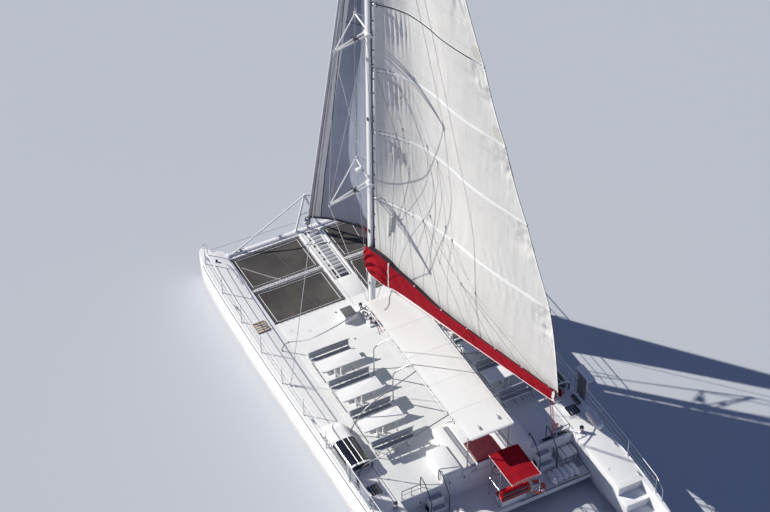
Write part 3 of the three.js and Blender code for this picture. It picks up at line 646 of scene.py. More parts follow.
def makeDeck():
    shape = Shape()
    profile, half = deck["profile"], deck["half"]
    form = bmesh.new()
    near = [form.verts.new((x, -half, z)) for x, z in profile]
    far = [form.verts.new((x, half, z)) for x, z in profile]
    form.faces.new(near)
    form.faces.new(far[::-1])
    for k in range(len(profile)):
        form.faces.new((near[k], far[k], far[(k + 1) % len(profile)], near[(k + 1) % len(profile)]))
    bmesh.ops.recalc_face_normals(form, faces=form.faces[:])
    rims = [e for e in form.edges if abs(e.verts[0].co.y - e.verts[1].co.y) > 1]
    bmesh.ops.bevel(form, geom=rims, offset=0.03, segments=3, profile=0.5, affect="EDGES")
    shape.take(form, "deck")
    # box beside the mast, with a dark lid
    shape.block((3.56, 0.64, 1.49), (4.14, 1.18, 1.8), "gelcoat", 0.03, 3)
    shape.block((3.6, 0.68, 1.795), (4.1, 1.14, 1.83), "rubber", 0.012)
    for side in (-1, 1):
        # lockers along the after edge
        shape.block((-5.18, side * 1.055, 1.49), (-3.9, side * 1.8, 1.955), "gelcoat", 0.03, 3)
        shape.block((-5.17, side * 1.075, 1.953), (-3.91, side * 1.78, 1.98), "gelcoat", 0.012)
        shape.block((-5.18, side * 0.65, 1.49), (-3.0, side * 1.05, 1.85), "gelcoat", 0.03, 3)
        shape.block((-5.16, side * 0.67, 1.848), (-3.02, side * 1.03, 1.872), "gelcoat", 0.012, 3)
        # steps down to the helm platform
        for reach, high in ((-5.46, 0.6), (-5.72, 0.3)):
            shape.block((-5.19, side * 1.9, 0.59), (reach, side * 2.5, 0.6 + high), "gelcoat", 0.02)
            shape.block((reach + 0.03, side * 1.95, 0.6 + high - 0.002),
                        (reach + 0.22, side * 2.45, 0.6 + high + 0.004), "board", 0.002)
    shape.make("bridgeDeck", nodes=("bridge_deck",), slot="gelcoat")


makeDeck()
print("stage: bridge deck")


# cross beam, striker, gangway and nets
bow = {
    "beam": (9.15, 1.33, 0.17),  # along, up, radius
    "beamHalf": 3.4997,
    "track": (8.93, 9.05, 1.395, 1.445),
    "apex": (9.27, 0, 3.1),
    "foot": 0.54,
    "railIn": 0.38,
    "railOut": 0.47,
    "landing": (4.7803, 5.95),
    "divider": (6.81, 6.93),
    "netEdge": 0.06,  # from the frame to the cloth
    "ropeIn": 0.17,  # from the frame to the white rope
    "netSag": 0.05,
    "netUp": 1.42,
}


def netPaint():
    paint = Paint("trampolineNet", (0.085, 0.08, 0.078), 0.9)
    x, y = paint.axes()[:2]
    cord = (x * 210).sine().most((y * 210).sine())
    strip = (y + x * 0.02).repeat(0.5).ramp(0.488, 0.494)
    dust = paint.noise(0.9, 5).ramp(0.35, 0.75)
    grey = paint.mix(dust * 0.65, (0.06, 0.055, 0.052), (0.14, 0.125, 0.108))
    paint.feed("Base Color", paint.mix(strip * 0.6 + (cord > 0.93) * 0.3, grey, (0.03, 0.03, 0.032)))
    paint.bump(cord + paint.noise(3, 3) * 0.5, 0.004, 0.8)
    return paint


finish["net"] = netPaint()


def makeBeam():
    x, up, r = bow["beam"]
    half = bow["beamHalf"]
    shape = Shape()
    profile = [(0, 0), (r + 0.02, 0), (r + 0.03, 0.02), (r + 0.03, 0.11), (r, 0.15)]
    joints = [0.9, 2.35, half - 0.54, half + 0.54, 2 * half - 2.35, 2 * half - 0.9]
    for at in joints:
        profile += mirrored(at, [(r, 0.05), (r + 0.007, 0.045)])
    profile += [(a, 2 * half - b) for a, b in profile[4::-1]]
    shape.lathe(profile, "spar", (x, -half, up), (0, 1, 0), 36)
    aft, fore, low, high = bow["track"]
    shape.block((aft, -half, low), (fore, half, high), "spar", 0.006)
    shape.block((aft + 0.075, -half, high - 0.02), (fore + 0.03, half, high + 0.006), "steel", 0.003)
    for k in range(-17, 18):  # eyes for the lacing
        y = k * 0.2
        if abs(y) > 0.5:
            shape.tube(mirrored(y, [(aft + 0.02, 0.025, high - 0.004), (aft + 0.01, 0.02, high + 0.028)]),
                       0.006, "steel", 5, 3)
    for side in (-1, 1):  # mooring cleats
        for k, at in enumerate((1.2, 2.9)):
            y = side * at
            shape.block((x - 0.03, y - 0.05, up + r - 0.01), (x + 0.03, y + 0.05, up + r + 0.045), "steel", 0.01)
            shape.tube(mirrored(y, [(x, 0.15, up + r + 0.05), (x, 0.05, up + r + 0.065)]), 0.015, "steel", 8, 4)
    # stay fitting under the furling drum
    shape.block((x - 0.05, -0.035, up + 0.1), (x + 0.05, 0.035, up + 0.27), "steel", 0.01)
    shape.lathe(mirrored(0, [(0, 0.06), (0.02, 0.06)]), "steel", (x - 0.01, 0, up + 0.24),
                (0, 1, 0), 12)
    shape.make("crossBeam", nodes=("cross_beam",), slot="spar")


def makeStriker():
    x, up, r = bow["beam"]
    apex = Vector(bow["apex"])
    shape = Shape()
    for side in (-1, 1):
        foot = Vector((x, side * bow["foot"], up))
        toApex = (apex - foot).normalized()
        start = foot + toApex * (r + 0.004)
        shape.tube([start, apex], 0.045, "spar", 20)
        shape.lathe([(0, 0), (0.085, 0), (0.085, 0.014), (0.062, 0.03), (0.046, 0.06)], "spar",
                    foot + toApex * (r - 0.012), toApex, 20)
        for k in range(6):
            t = k * pi / 3
            a, b = frameAt(toApex)
            at = foot + toApex * (r + 0.002) + (a * cos(t) + b * sin(t)) * 0.072
            shape.lathe([(0, 0), (0.009, 0), (0.009, 0.009), (0, 0.011)], "steel", at, toApex, 8)
        half = (foot + apex) / 2
        if side > 0:
            shape.tube([half, (half.x, -half.y, half.z)], 0.025, "spar", 14)
        shape.lathe(mirrored(0, [(0.046, 0.03), (0.052, 0.02)]), "spar", half, toApex, 20)
        end = Vector((x, side * 3.3797, up + 0.06))
        span = (apex - end).normalized()
        shape.tube([end + span * 0.12, apex], 0.028, "spar", 14)
        shape.lathe([(0, 0.1), (0.04, 0.1), (0.045, 0.12), (0.045, 0.2), (0.03, 0.25)], "spar", end, span, 14)
        shape.block((x - 0.06, side * 3.3, up + r - 0.012), (x + 0.06, side * 3.44, up + r + 0.012), "spar", 0.006)
    shape.lathe(mirrored(0, [(0, 0.055), (0.05, 0.05)], apex=(0.062, 0)), "spar", apex, sides=20)
    for y in (-0.16, -0.06, 0.05, 0.17):  # line leads on the crossbar
        mid = (apex.z + up) / 2
        shape.tube(mirrored(y, [(9.19, 0.035, mid + 0.02), (9.185, 0.03, mid + 0.065)]), 0.007, "steel", 6, 3)
    shape.make("bowFrame", nodes=("striker",), slot="spar")


def makeGangway():
    fore = bow["track"][0] - hair
    aft, step = bow["landing"]
    inner, outer = bow["railIn"], bow["railOut"]
    shape = Shape()
    shape.block((aft, -outer + 0.001, 1.44), (step, outer - 0.001, 1.49), "deck", 0.01)
    for side in (-1, 1):
        shape.block((aft, side * inner, 1.37), (fore, side * outer, 1.4905), "gelcoat", 0.014, 3)
        for k in range(9):  # bolt heads along the boards
            shape.lathe([(0, 0), (0.011, 0), (0.009, 0.006), (0, 0.007)], "steel",
                        (5.2 + k * 0.44, side * (inner + outer) / 2, 1.4895), sides=8)
    for y in (0.3, 0.135, -0.3):  # ladder rails inside the boards
        shape.block((step + 0.02, y - 0.028, 1.43), (fore - 0.02, y + 0.028, 1.488), "gelcoat", 0.012)
    # rungs in grey board: painted shade, white steps drawn as if in shade
    for k in range(14):
        x = 6.19 + k * (8.87 - 6.19) / 13
        shape.block((x - 0.055, -0.29, 1.452), (x + 0.055, 0.14, 1.474), "board", 0.006)
        shape.block((x - 0.018, -inner - 0.01, 1.4), (x + 0.018, inner + 0.01, 1.436), "gelcoat", 0.005)
        if k % 2:
            shape.block((x - 0.03, 0.19, 1.43), (x + 0.03, 0.25, 1.49), "black", 0.01)
    back, front = bow["divider"]
    half = bow["beamHalf"]
    for side in (-1, 1):
        for a, b in ((back, back + 0.042), (front - 0.042, front)):
            shape.block((a, side * (outer - 0.02), 1.375), (b, side * half, 1.46), "gelcoat", 0.015, 3)
        # dark strip in the gap between the bars: painted shade of the gap
        shape.block((back + 0.03, side * (outer - 0.02), 1.385), (front - 0.03, side * half, 1.425),
                    "rubber", 0.004)
        for k in range(7):
            y = side * (0.75 + k * 0.42)
            shape.block((back + 0.012, y - 0.02, 1.4), (front - 0.012, y + 0.02, 1.452), "gelcoat", 0.005)
    shape.make("gangway", nodes=("catwalk",), slot="gelcoat")


def netPoint(x, y, box):
    low, high, inner, outer = box
    u = (x - low) / (high - low)
    v = (abs(y) - inner) / (outer - inner)
    hang = (1 - (2 * u - 1) ** 4) * (1 - (2 * v - 1) ** 4)
    ripple = 0.008 * sin(9 * u + 4 * v) * sin(pi * u) * sin(pi * v)
    return Vector((x, y, bow["netUp"] - bow["netSag"] * hang * (1 - 0.2 * cos(5 * u)) + ripple))


def netRun(side, box, a, b, count, lift):  # points over the net from one place to another
    return [netPoint(p.x, side * p.y, box) + Vector((0, 0, lift))
            for p in (Vector(a).lerp(Vector(b), t) for t in np.linspace(0, 1, count))]


def makeNets(side, where):
    inner, outer = bow["railOut"] + hair, bow["beamHalf"]
    panels = {"fore": (bow["divider"][1], bow["track"][0]), "aft": (bow["landing"][0], bow["divider"][0])}
    edge, ropeIn = bow["netEdge"], bow["ropeIn"]
    for name, (low, high) in panels.items():
        low, high = low + hair, high - hair
        box = (low, high, inner, outer)
        xs = np.linspace(low + edge, high - edge, 24)
        ys = np.linspace(inner + edge, outer - edge, 34)
        cloth = Shape()
        cloth.cloth([[netPoint(x, side * y, box) for y in ys] for x in xs], 0.012, "net")
        piece = cloth.make(f"trampoline_{name}_{where}", nodes=(f"net_{name}_{where}",), slot="netting", sharp=60)
        rope = Shape()
        a, b, c, d = low + edge - 0.004, high - edge + 0.004, inner + edge - 0.004, outer - edge + 0.004
        hem = 0.055
        # dark webbing hems round the net: partly painted shade, standing also for the shaded gap at the frame
        for x0, x1, y0, y1 in ((a, a + hem, c, d), (b - hem, b, c, d), (a, b, c, c + hem), (a, b, d - hem, d)):
            rope.cloth([[netPoint(x, side * y, box) + Vector((0, 0, 0.009)) for y in np.linspace(y0, y1, 16)]
                        for x in np.linspace(x0, x1, 16)], 0.004, "charcoal")
        corners = [(low + ropeIn, inner + ropeIn), (high - ropeIn, inner + ropeIn), (high - ropeIn, outer - ropeIn),
                   (low + ropeIn, outer - ropeIn)]
        for k in range(4):
            rope.tube(netRun(side, box, corners[k], corners[(k + 1) % 4], 15, 0.012), 0.015, "rope", 7)
        seam = (low + edge, inner + (outer - inner) * 0.36), (high - edge, inner + (outer - inner) * 0.42)
        rope.tube(netRun(side, box, *seam, 13, 0.007), 0.009, "whiteTape" if side < 0 else "darkRope", 5)
        if side > 0 and name == "fore":
            rope.tube(netRun(side, box, (8.34, 3.25), (6.99, 2.19), 11, 0.016), 0.013, "rope", 7)
        for a, b, across, rims in ((low, high, False, (inner, outer)), (inner, outer, True, (low, high))):
            count = int((b - a - 2 * ropeIn) / 0.13)
            for rim, way in zip(rims, (1, -1)):  # lacing to the frame
                zig = []
                for k in range(2 * count + 1):
                    along = a + ropeIn + k * (b - a - 2 * ropeIn) / (2 * count)
                    off = rim + way * 0.012 if k % 2 else rim + way * edge + way * 0.02
                    x, y = (off, along) if across else (along, off)
                    zig.append((x, side * y, bow["netUp"] + (0 if k % 2 else 0.008)))
                rope.tube(zig, 0.006, "rope", 5)
        rope.make(f"netRopes_{name}_{where}", slot="sailcloth")
    wire = Shape()  # cable from the bow to the beam's fitting
    wire.tube([(9.72, side * 3.93, 1.5), (9.68, side * 3.93, 1.58), (9.62, side * 3.93, 1.5)], 0.01, "steel", 6, 4)
    wire.tube([(9.68, side * 3.93, 1.57), (9.62, side * 0.36, 1.5), (9.3, side * 0.1, 1.47)], 0.007, "steel", 6)
    wire.make(f"bowCable_{where}", slot="steel")


makeBeam()
makeStriker()
makeGangway()
bothSides(makeNets)
print("stage: bows")


# mast, pad, spreaders and standing rigging
rig = {
    "mastX": 3.6,
    "foot": onDeck,
    "hounds": 23.1,
    "top": 25.7,
    "halfLong": 0.17,
    "halfWide": 0.12,
    "spreaders": {  # height, reach, sweep aft, strut forward, strut rise
        "lower": (8.05, 1.85, 0.4, 1.13, 0.32),
        "upper": (14.75, 1.5, 0.38, 1.0, 0.16),
    },
    "shroud": (1.67, 4.38),
    "stayFoot": (9.15, 0, 1.6),
    "stayTop": (3.73, 0, 23.1),
}


def mastShare(z):
    return 1 if z < rig["hounds"] else 1 - 0.4 * (z - rig["hounds"]) / (rig["top"] - rig["hounds"])


def stayAt(s):
    foot, top = Vector(rig["stayFoot"]), Vector(rig["stayTop"])
    return foot + (top - foot).normalized() * s


def makeMast():
    x, long, wide = rig["mastX"], rig["halfLong"], rig["halfWide"]
    shape = Shape()
    rings = []
    for z in [rig["foot"], 1.56, 3.5, 6, 8.05, 11, 14.75, 18, 21, rig["hounds"], 24.4, rig["top"]]:
        share = mastShare(z)
        ring = []
        for k in range(32):
            t = 2 * pi * k / 32
            ring.append((x + long * share * cos(t), wide * share * sin(t) * (1 - 0.06 * cos(t)), z))
        rings.append(ring)
    shape.loft(rings, "spar")
    # luff track down the after face, in black: partly painted shade in its slot
    for z0, z1 in ((4.0, rig["hounds"]), (rig["hounds"], 25.3)):
        a, b = (x - long * mastShare(z) for z in (z0, z1))
        shape.loft([[(back - 0.022, -0.017, z), (back - 0.022, 0.017, z), (back + 0.012, 0.022, z),
                     (back + 0.012, -0.022, z)] for back, z in ((a, z0), (b, z1))], "black")
    # foot collar with halyard blocks
    shape.loft([[(x + (long + g) * cos(t), (wide + g) * sin(t), z) for t in turns(32)]
                for z, g in ((1.5605, 0.0), (1.5605, 0.05), (1.6, 0.05), (1.62, 0.012), (1.72, 0.012),
                             (1.73, 0.0))], "steel")
    # masthead: crane, sheaves, light
    share = mastShare(rig["top"])
    shape.block((x - 0.2, -0.05, 25.69), (x + 0.16, 0.05, 25.74), "spar", 0.015)
    shape.lathe(mirrored(0, [(0, 0.03), (0.06, 0.03)], apex=(0.045, 0)), "black", (x - 0.16, 0, 25.7),
                (0, 1, 0), 16)
    shape.lathe([(0, 0), (0.04, 0), (0.045, 0.07), (0.03, 0.1), (0, 0.11)], "spar", (x + 0.06, 0, 25.73), sides=14)
    shape.tube([(x - 0.02, 0, 25.74), (x - 0.02, 0, 26.1)], 0.006, "black", 6)
    # steps, exits and a lamp up the mast
    for k, z in enumerate(np.arange(3.1, 23, 2.63)):
        for side in (-1, 1):
            shape.block((x - 0.1, side * 0.098, z), (x, side * 0.127, z + 0.16),
                        "black" if k % 2 else "steel", 0.008)
    shape.lathe([(0, 0), (0.05, 0), (0.055, 0.02), (0.055, 0.09), (0.035, 0.12), (0, 0.125)], "black",
                (x + long - 0.01, 0, 10.6), (1, 0, 0.2), 14)
    shape.block((x + 0.16, -0.05, 5.2), (x + 0.25, 0.05, 5.29), "black", 0.02)
    # halyards down the side of the mast
    for y, out in ((0.05, 0.17), (-0.05, 0.17)):
        shape.tube([(x + out, y, 1.8), (x + out + 0.005, y * 0.9, 12), (x + 0.14, y, 22.9)], 0.007, "darkRope", 5)
    for side in (-1, 1):
        shape.tube([(x + 0.03, side * 0.137, 1.75), (x + 0.03, side * 0.137, 12), (x + 0.03, side * 0.13, 22.9)],
                   0.007, "rope", 5)
    shape.make("mastTube", nodes=("mast",), slot="spar")


def addWinch(shape, base, ahead=(0, 0, 1), size=1.0):
    drum = [(0, 0), (0.085, 0), (0.085, 0.03), (0.062, 0.05), (0.055, 0.1), (0.058, 0.14), (0.072, 0.17),
            (0.074, 0.2), (0.064, 0.215)]
    shape.lathe([(r * size, h * size) for r, h in drum], "steel", base, ahead, 24)
    ahead = Vector(ahead).normalized()
    shape.lathe([(r * size, h * size) for r, h in [(0.064, 0.2), (0.066, 0.235), (0.03, 0.245), (0.028, 0.285),
                                                   (0, 0.287)]], "black", base, ahead, 24)
    for k in range(4):  # turns of line
        shape.lathe([(0.056 * size, (0.058 + 0.018 * k) * size), (0.068 * size, (0.067 + 0.018 * k) * size),
                     (0.056 * size, (0.076 + 0.018 * k) * size)], "rope" if k % 2 else "redRope", base, ahead, 20)


def makeMastPad():
    base = onDeck
    shape = Shape()
    shape.block((2.95, -0.43, base), (4.25, 0.43, 1.56), "shell", 0.02, 3)
    for x, y in ((3.15, 0.3), (3.15, -0.3), (4.02, 0.28), (4.02, -0.28)):
        addWinch(shape, (x, y, 1.545))
    shape.block((2.98, -0.17, 1.55), (3.08, 0.17, 1.59), "black", 0.006)
    for k in range(6):  # rope clutches
        y = -0.14 + k * 0.056
        shape.block((2.975, y - 0.022, 1.585), (3.085, y + 0.022, 1.635), "black", 0.008)
        shape.block((2.99, y - 0.014, 1.63), (3.07, y + 0.014, 1.65), "redRope" if k % 3 == 0 else "steel", 0.004)
        shape.tube([(3.07, y, 1.6), (3.2, y * 1.15, 1.585), (3.4, y * 1.05, 1.6)], 0.006,
                   ("rope", "redRope", "darkRope")[k % 3], 6, 5)
        shape.tube([(2.98, y, 1.6), (2.9, y * 1.3, 1.53), (2.75 - 0.06 * k, y * 2.2 - 0.04, 1.51),
                    (2.62, y * 3.0 - 0.1, 1.508)], 0.006, ("rope", "redRope", "darkRope")[k % 3], 6, 6)
    for side in (-1, 1):  # coils of line beside the foot
        for k, turn in enumerate((0.15, 0.135, 0.155, 0.12)):
            ring = [(3.62 + turn * cos(t) * (1 + 0.12 * sin(3 * t + k)),
                     side * 0.3 + 0.62 * turn * sin(t) * (1 + 0.1 * cos(2 * t + k)),
                     1.571 + 0.012 * k + 0.004 * sin(4 * t)) for t in turns(26)]
            shape.tube(ring, 0.008, "darkRope" if side > 0 else "rope", 6, closed=True)
        shape.lathe([(0, 0), (0.03, 0), (0.03, 0.03), (0.018, 0.05), (0.02, 0.08), (0, 0.085)], "steel",
                    (3.35, side * 0.36, 1.555), sides=12)
    shape.make("mastPad", nodes=("mast_pad",), slot="black")


def makeSpreaders(level):
    z, reach, sweep, strut, rise = rig["spreaders"][level]
    x, long, wide = rig["mastX"], rig["halfLong"], rig["halfWide"]
    shape = Shape()
    rings = []
    for up, grow in ((-0.08, 0.002), (-0.08, 0.035), (-0.05, 0.042), (0.05, 0.042), (0.08, 0.035), (0.08, 0.002)):
        rings.append([(x + (long + grow) * cos(t), (wide + grow) * sin(t), z + up)
                      for t in turns(32)])
    shape.loft(rings, "spar")
    nose = Vector((x + strut, 0, z + rise))
    root = Vector((x + long + 0.01, 0, z + 0.04))
    shape.tube([root, nose], 0.03, "spar", 16)
    shape.lathe(mirrored(0, [(0, 0.05), (0.045, 0.045)], apex=(0.055, 0)), "spar", nose, sides=16)
    for y in (-0.05, 0.05):
        shape.lathe([(0, 0), (0.024, 0), (0.026, 0.012), (0.013, 0.03), (0, 0.03)], "steel",
                    nose + Vector((0.01, y * 1.2, 0.02)), (0, y, 0.3), 10)
    for side in (-1, 1):
        tip = Vector((x - sweep, side * reach, z))
        for off in (0.11, -0.11):
            start = Vector((x + off, side * (wide - 0.02), z))
            shape.tube([start, tip + Vector((off * 0.24, 0, 0))], 0.03, "spar", 16)
        mid = Vector((x, side * wide, z)).lerp(tip, 0.33)
        for way in (-1, 1):  # clamp with crossed straps
            shape.tube([mid + Vector((0.14, -0.09 * way, 0.03)), mid - Vector((0.14, -0.09 * way, -0.03))], 0.022,
                       "black", 8)
        shape.block(mid - Vector((0.08, 0.06, 0.05)), mid + Vector((0.08, 0.06, 0.06)), "black", 0.02)
        shape.tube([nose, tip], 0.022, "spar", 14)
        shape.lathe(mirrored(0, [(0, 0.05), (0.04, 0.05)], apex=(0.05, 0)), "spar", tip, sides=14)
        shape.block(tip - Vector((0.05, 0.02, 0.07)), tip + Vector((0.05, 0.05, 0.07)), "steel", 0.01)
    middle = root.lerp(nose, 0.5)
    if level == "lower":  # floodlight on a bracket
        shape.block(middle + Vector((-0.05, 0.0, -0.06)), middle + Vector((0.05, 0.05, 0.05)), "steel", 0.01)
        shape.block(middle + Vector((-0.09, 0.03, -0.05)), middle + Vector((0.07, 0.25, 0.07)), "spar", 0.03, 3)
    shape.lathe([(0, 0), (0.05, 0), (0.06, 0.05), (0.03, 0.09), (0, 0.09)], "black",
                middle + Vector((0, 0.0, -0.03)), (0, 0, -1), 14)
    shape.make(f"spreaderArms_{level}", nodes=(f"spreaders_{level}",), slot="spar")


def turnbuckle(shape, low, high, wire, paint):
    ahead = (Vector(high) - Vector(low)).normalized()
    shape.lathe([(0, 0), (0.011, 0), (0.011, 0.05), (0.018, 0.06), (0.018, 0.2), (0.011, 0.21), (0.011, 0.26),
                 (wire, 0.27)], paint, low, ahead, 10)


def makeWires(side, where):
    x = rig["mastX"]
    shape = Shape()
    foot = Vector((rig["shroud"][0], side * rig["shroud"][1], 1.5))
    top = Vector((x - 0.06, side * 0.105, rig["hounds"]))
    ahead = (top - foot).normalized()
    shape.block((foot.x - 0.06, side * 4.368, onDeck), (foot.x + 0.06, side * 4.392, 1.66), "steel", 0.008)
    shape.block((foot.x - 0.09, side * 4.34, onDeck), (foot.x + 0.09, side * 4.42, 1.512), "steel", 0.004)
    start = foot + ahead * 0.12
    turnbuckle(shape, start, top, 0.009, "steel")
    shape.tube([start + ahead * 0.2, top], 0.0125, "steel", 8)
    shape.lathe([(0, 0), (0.02, 0), (0.02, 0.1), (0.01, 0.16)], "steel", top, -ahead, 10)
    shape.make(f"shroudCable_{where}", nodes=(f"shroud_{where}",), slot="steel")
    stays = Shape()
    points = {}
    for level, (z, reach, sweep, strut, rise) in rig["spreaders"].items():
        points[level + "Tip"] = Vector((x - sweep, side * (reach + 0.03), z))
        points[level + "Root"] = Vector((x - 0.02, side * 0.13, z))
        points[level + "Nose"] = Vector((x + strut, side * 0.03, z + rise))
    points["foot"] = Vector((x - 0.02, side * 0.125, 2.0))
    points["head"] = Vector((x - 0.04, side * 0.11, 21.6))
    points["headFront"] = Vector((x + 0.15, side * 0.03, 21.6))
    points["footFront"] = Vector((x + 0.165, side * 0.03, 2.2))
    runs = [("upperTip", "lowerRoot"), ("lowerTip", "upperRoot"), ("upperTip", "lowerTip"), ("lowerTip", "foot"),
            ("upperTip", "head"), ("upperNose", "lowerNose"), ("upperNose", "headFront"),
            ("lowerNose", "footFront")]
    for a, b in runs:
        stays.tube([points[a], points[b]], 0.0105, "steel", 6)
        low, high = (b, a) if b in ("foot", "footFront") else (a, b)
        turnbuckle(stays, points[low], points[high], 0.008, "steel")
    stays.make(f"diamondWires_{where}", slot="steel")


def makeForestay():
    ahead = (Vector(rig["stayTop"]) - Vector(rig["stayFoot"])).normalized()
    foot = stayAt(0)
    shape = Shape()
    shape.tube([stayAt(-0.07), stayAt(0.2)], 0.016, "steel", 10)
    shape.lathe([(0, 0.0), (0.03, 0.0), (0.035, 0.03), (0.035, 0.12), (0.02, 0.15)], "steel", foot, ahead, 14)
    shape.lathe([(0, 0.2), (0.128, 0.2), (0.13, 0.207), (0.13, 0.233), (0.122, 0.24), (0.075, 0.25), (0.07, 0.39),
                 (0.118, 0.398), (0.13, 0.405), (0.13, 0.425), (0.12, 0.43), (0.06, 0.44), (0.045, 0.52),
                 (0.03, 0.6)], "steel", foot, ahead, 32)
    for k in range(7):
        shape.lathe([(0.07, 0.258 + 0.018 * k), (0.085 - 0.004 * abs(k - 3), 0.267 + 0.018 * k),
                     (0.07, 0.276 + 0.018 * k)], "rope", foot, ahead, 24)
    shape.tube([stayAt(0.55), stayAt(10), stayAt(21.9)], 0.0255, "spar", 14)
    for s in (20.75, 21.1):
        shape.lathe([(0.026, s), (0.045, s + 0.02), (0.045, s + 0.12), (0.026, s + 0.14)], "black", foot, ahead, 14)
    shape.lathe([(0.02, 0.45), (0.05, 0.46), (0.05, 0.56), (0.02, 0.58)], "steel", foot, ahead, 14)
    shape.make("forestayCable", nodes=("forestay",), slot="steel")
    line = Shape()  # furling line led aft along the port board
    line.tube([(9.03, 0.09, 1.86), (8.96, 0.3, 1.62), (8.86, 0.36, 1.515), (7.5, 0.36, 1.505), (6.1, 0.35, 1.505),
               (5.0, 0.36, 1.505), (4.4, 0.4, 1.52), (4.1, 0.4, 1.575)], 0.006, "rope", 6, 6)
    line.make("furlingLine", slot="sailcloth")


makeMast()
makeMastPad()
for level in rig["spreaders"]:
    makeSpreaders(level)
bothSides(makeWires)
makeForestay()
print("stage: mast and rigging")


# sails, boom and sail bag
sail = {
    "axis": (3.35, 0),
    "eased": 14.9,  # degrees off the centreline
    "boomLow": (3.64, 0.045),  # height at the gooseneck, rise along
    "boom": (0.3, 9.4, 0.11, 0.22),  # from, to, half width, height
    "foot": 4.38,
    "head": 24.9,
    "twist": 5,
    "luff": 0.062,
    "leech": [(4.38, 9.42), (6.2, 9.08), (8.0, 8.62), (9.4, 8.02), (10.65, 7.44), (12.0, 6.83), (13.35, 6.25),
              (14.7, 5.68), (16.1, 5.12), (18.4, 4.17), (21.5, 2.74), (23.6, 1.69), (24.9, 0.9)],
    "battens": [7.55, 10.62, 13.38, 16.14, 18.85, 21.35, 23.5],  # heights at the luff
    "rise": [0.34, 0.24, 0.12, 0.04, 0, 0, 0],  # more at the leech
    "draft": [(0, 0), (0.06, 0.4), (0.13, 0.72), (0.26, 1), (0.36, 0.92), (0.46, 0.73), (0.6, 0.36),
              (0.75, 0.17), (0.9, 0.09), (1, 0)],
    "bag": [  # along, low, top, half width
        (-0.5, 3.95, 4.86, 0.2), (-0.28, 3.92, 5.02, 0.23), (-0.08, 3.9, 5.17, 0.235),
        (0.4, 3.87, 5.17, 0.235), (0.85, 3.84, 5.13, 0.222), (1.2, 3.94, 5.01, 0.205),
        (1.8, 3.99, 4.94, 0.19), (2.6, 4.0, 4.79, 0.175), (3.7, 4.0, 4.62, 0.168), (5.8, 4.05, 4.63, 0.16),
        (7.8, 4.11, 4.68, 0.155), (9.0, 4.17, 4.7, 0.15), (9.4, 4.2, 4.62, 0.148),
    ],
    "wrap": [(0.4, 0.235), (0.0, 0.228), (-0.27, 0.205), (-0.5, 0.0)],  # plan of the fold round the mast
    "bagThick": 0.016,
}
jibPlan = {
    "luffFoot": 0.56,
    "luffHead": 20.3,
    "leech": [(2.55, 4.25, -1.3), (5.5, 4.65, -1.15), (8.05, 4.92, -0.95), (11.5, 4.95, -0.9),
              (14.75, 4.72, -0.7), (18.0, 4.38, -0.45), (21.2, 3.985, -0.13)],
    "depth": [(0, 0.27), (0.15, 0.17), (0.6, 0.13), (1, 0.02)],
}


def boomLow(r):
    return sail["boomLow"][0] + sail["boomLow"][1] * r


def swung(p):  # from the boom's own frame: aft, leeward, up
    angle = pi + radians(sail["eased"])
    c, s = cos(angle), sin(angle)
    return Vector((sail["axis"][0] + p[0] * c - p[1] * s, sail["axis"][1] + p[0] * s + p[1] * c, p[2]))


def lerpTable(table, key, column=1):
    return float(np.interp(key, [row[0] for row in table], [row[column] for row in table]))


def fullness(z):  # greatest draft at a height
    low = min(1, max(0, (z - 4.9) / 4.8))
    return 0.082 * lerpTable(sail["leech"], z) ** 0.97 * low * low * (3 - 2 * low)


def mainPoint(s, z):
    chord = glideTable(sail["leech"], z)[0]
    ends = [a + b for a, b in zip(sail["battens"], sail["rise"])]
    for low, high in zip(ends, ends[1:]):
        if low < z < high:
            chord -= 0.05 * sin(pi * (z - low) / (high - low))
    share = (z - sail["foot"]) / (sail["head"] - sail["foot"])
    fall = radians(sail["twist"] * share)
    r = sail["luff"] + s * (chord - sail["luff"])
    belly = fullness(z) * glideTable(sail["draft"], s)[0]
    # creases under each batten by the luff, and crumpled cloth at the leech
    above = min((b - z for b in sail["battens"] if b > z), default=2)
    deep = 1 + 1.1 * exp(-((z - 7) / 3.5) ** 2)
    crease = deep * exp(-((r - 0.85) / 0.55) ** 2) * exp(-((above - 0.85) / 0.7) ** 2)
    belly += crease * (0.022 * sin(36 * r + 1.7 * z) + 0.01 * sin(61 * r - 2.3 * z))
    under = min((b - z for b in ends if b > z), default=2)
    crumple = exp(-((chord - r) / 0.85) ** 2) * exp(-((under - 0.75) / 0.7) ** 2)
    sharp = (1 - 2.4 * abs(noise.noise(Vector((r * step + z * 0.8, z * step, step)))) for step in (1.5, 2.9, 4.6))
    belly += crumple * min(1, (chord - r) / 0.1) * sum(a * b for a, b in zip(sharp, (0.07, 0.048, 0.024)))
    pull = exp(-((s - 0.7) / 0.12) ** 2) * exp(-((z - 7.9) / 0.9) ** 2)
    belly += 0.014 * pull * sin(16 * r + 7 * z)
    up = z
    foot = boomLow(r) + 0.2606
    if z < 7.5:
        up = z + (foot - sail["foot"]) * ((7.5 - z) / (7.5 - sail["foot"])) ** 2
    return Vector((r * cos(fall) - belly * sin(fall), r * sin(fall) + belly * cos(fall), up))


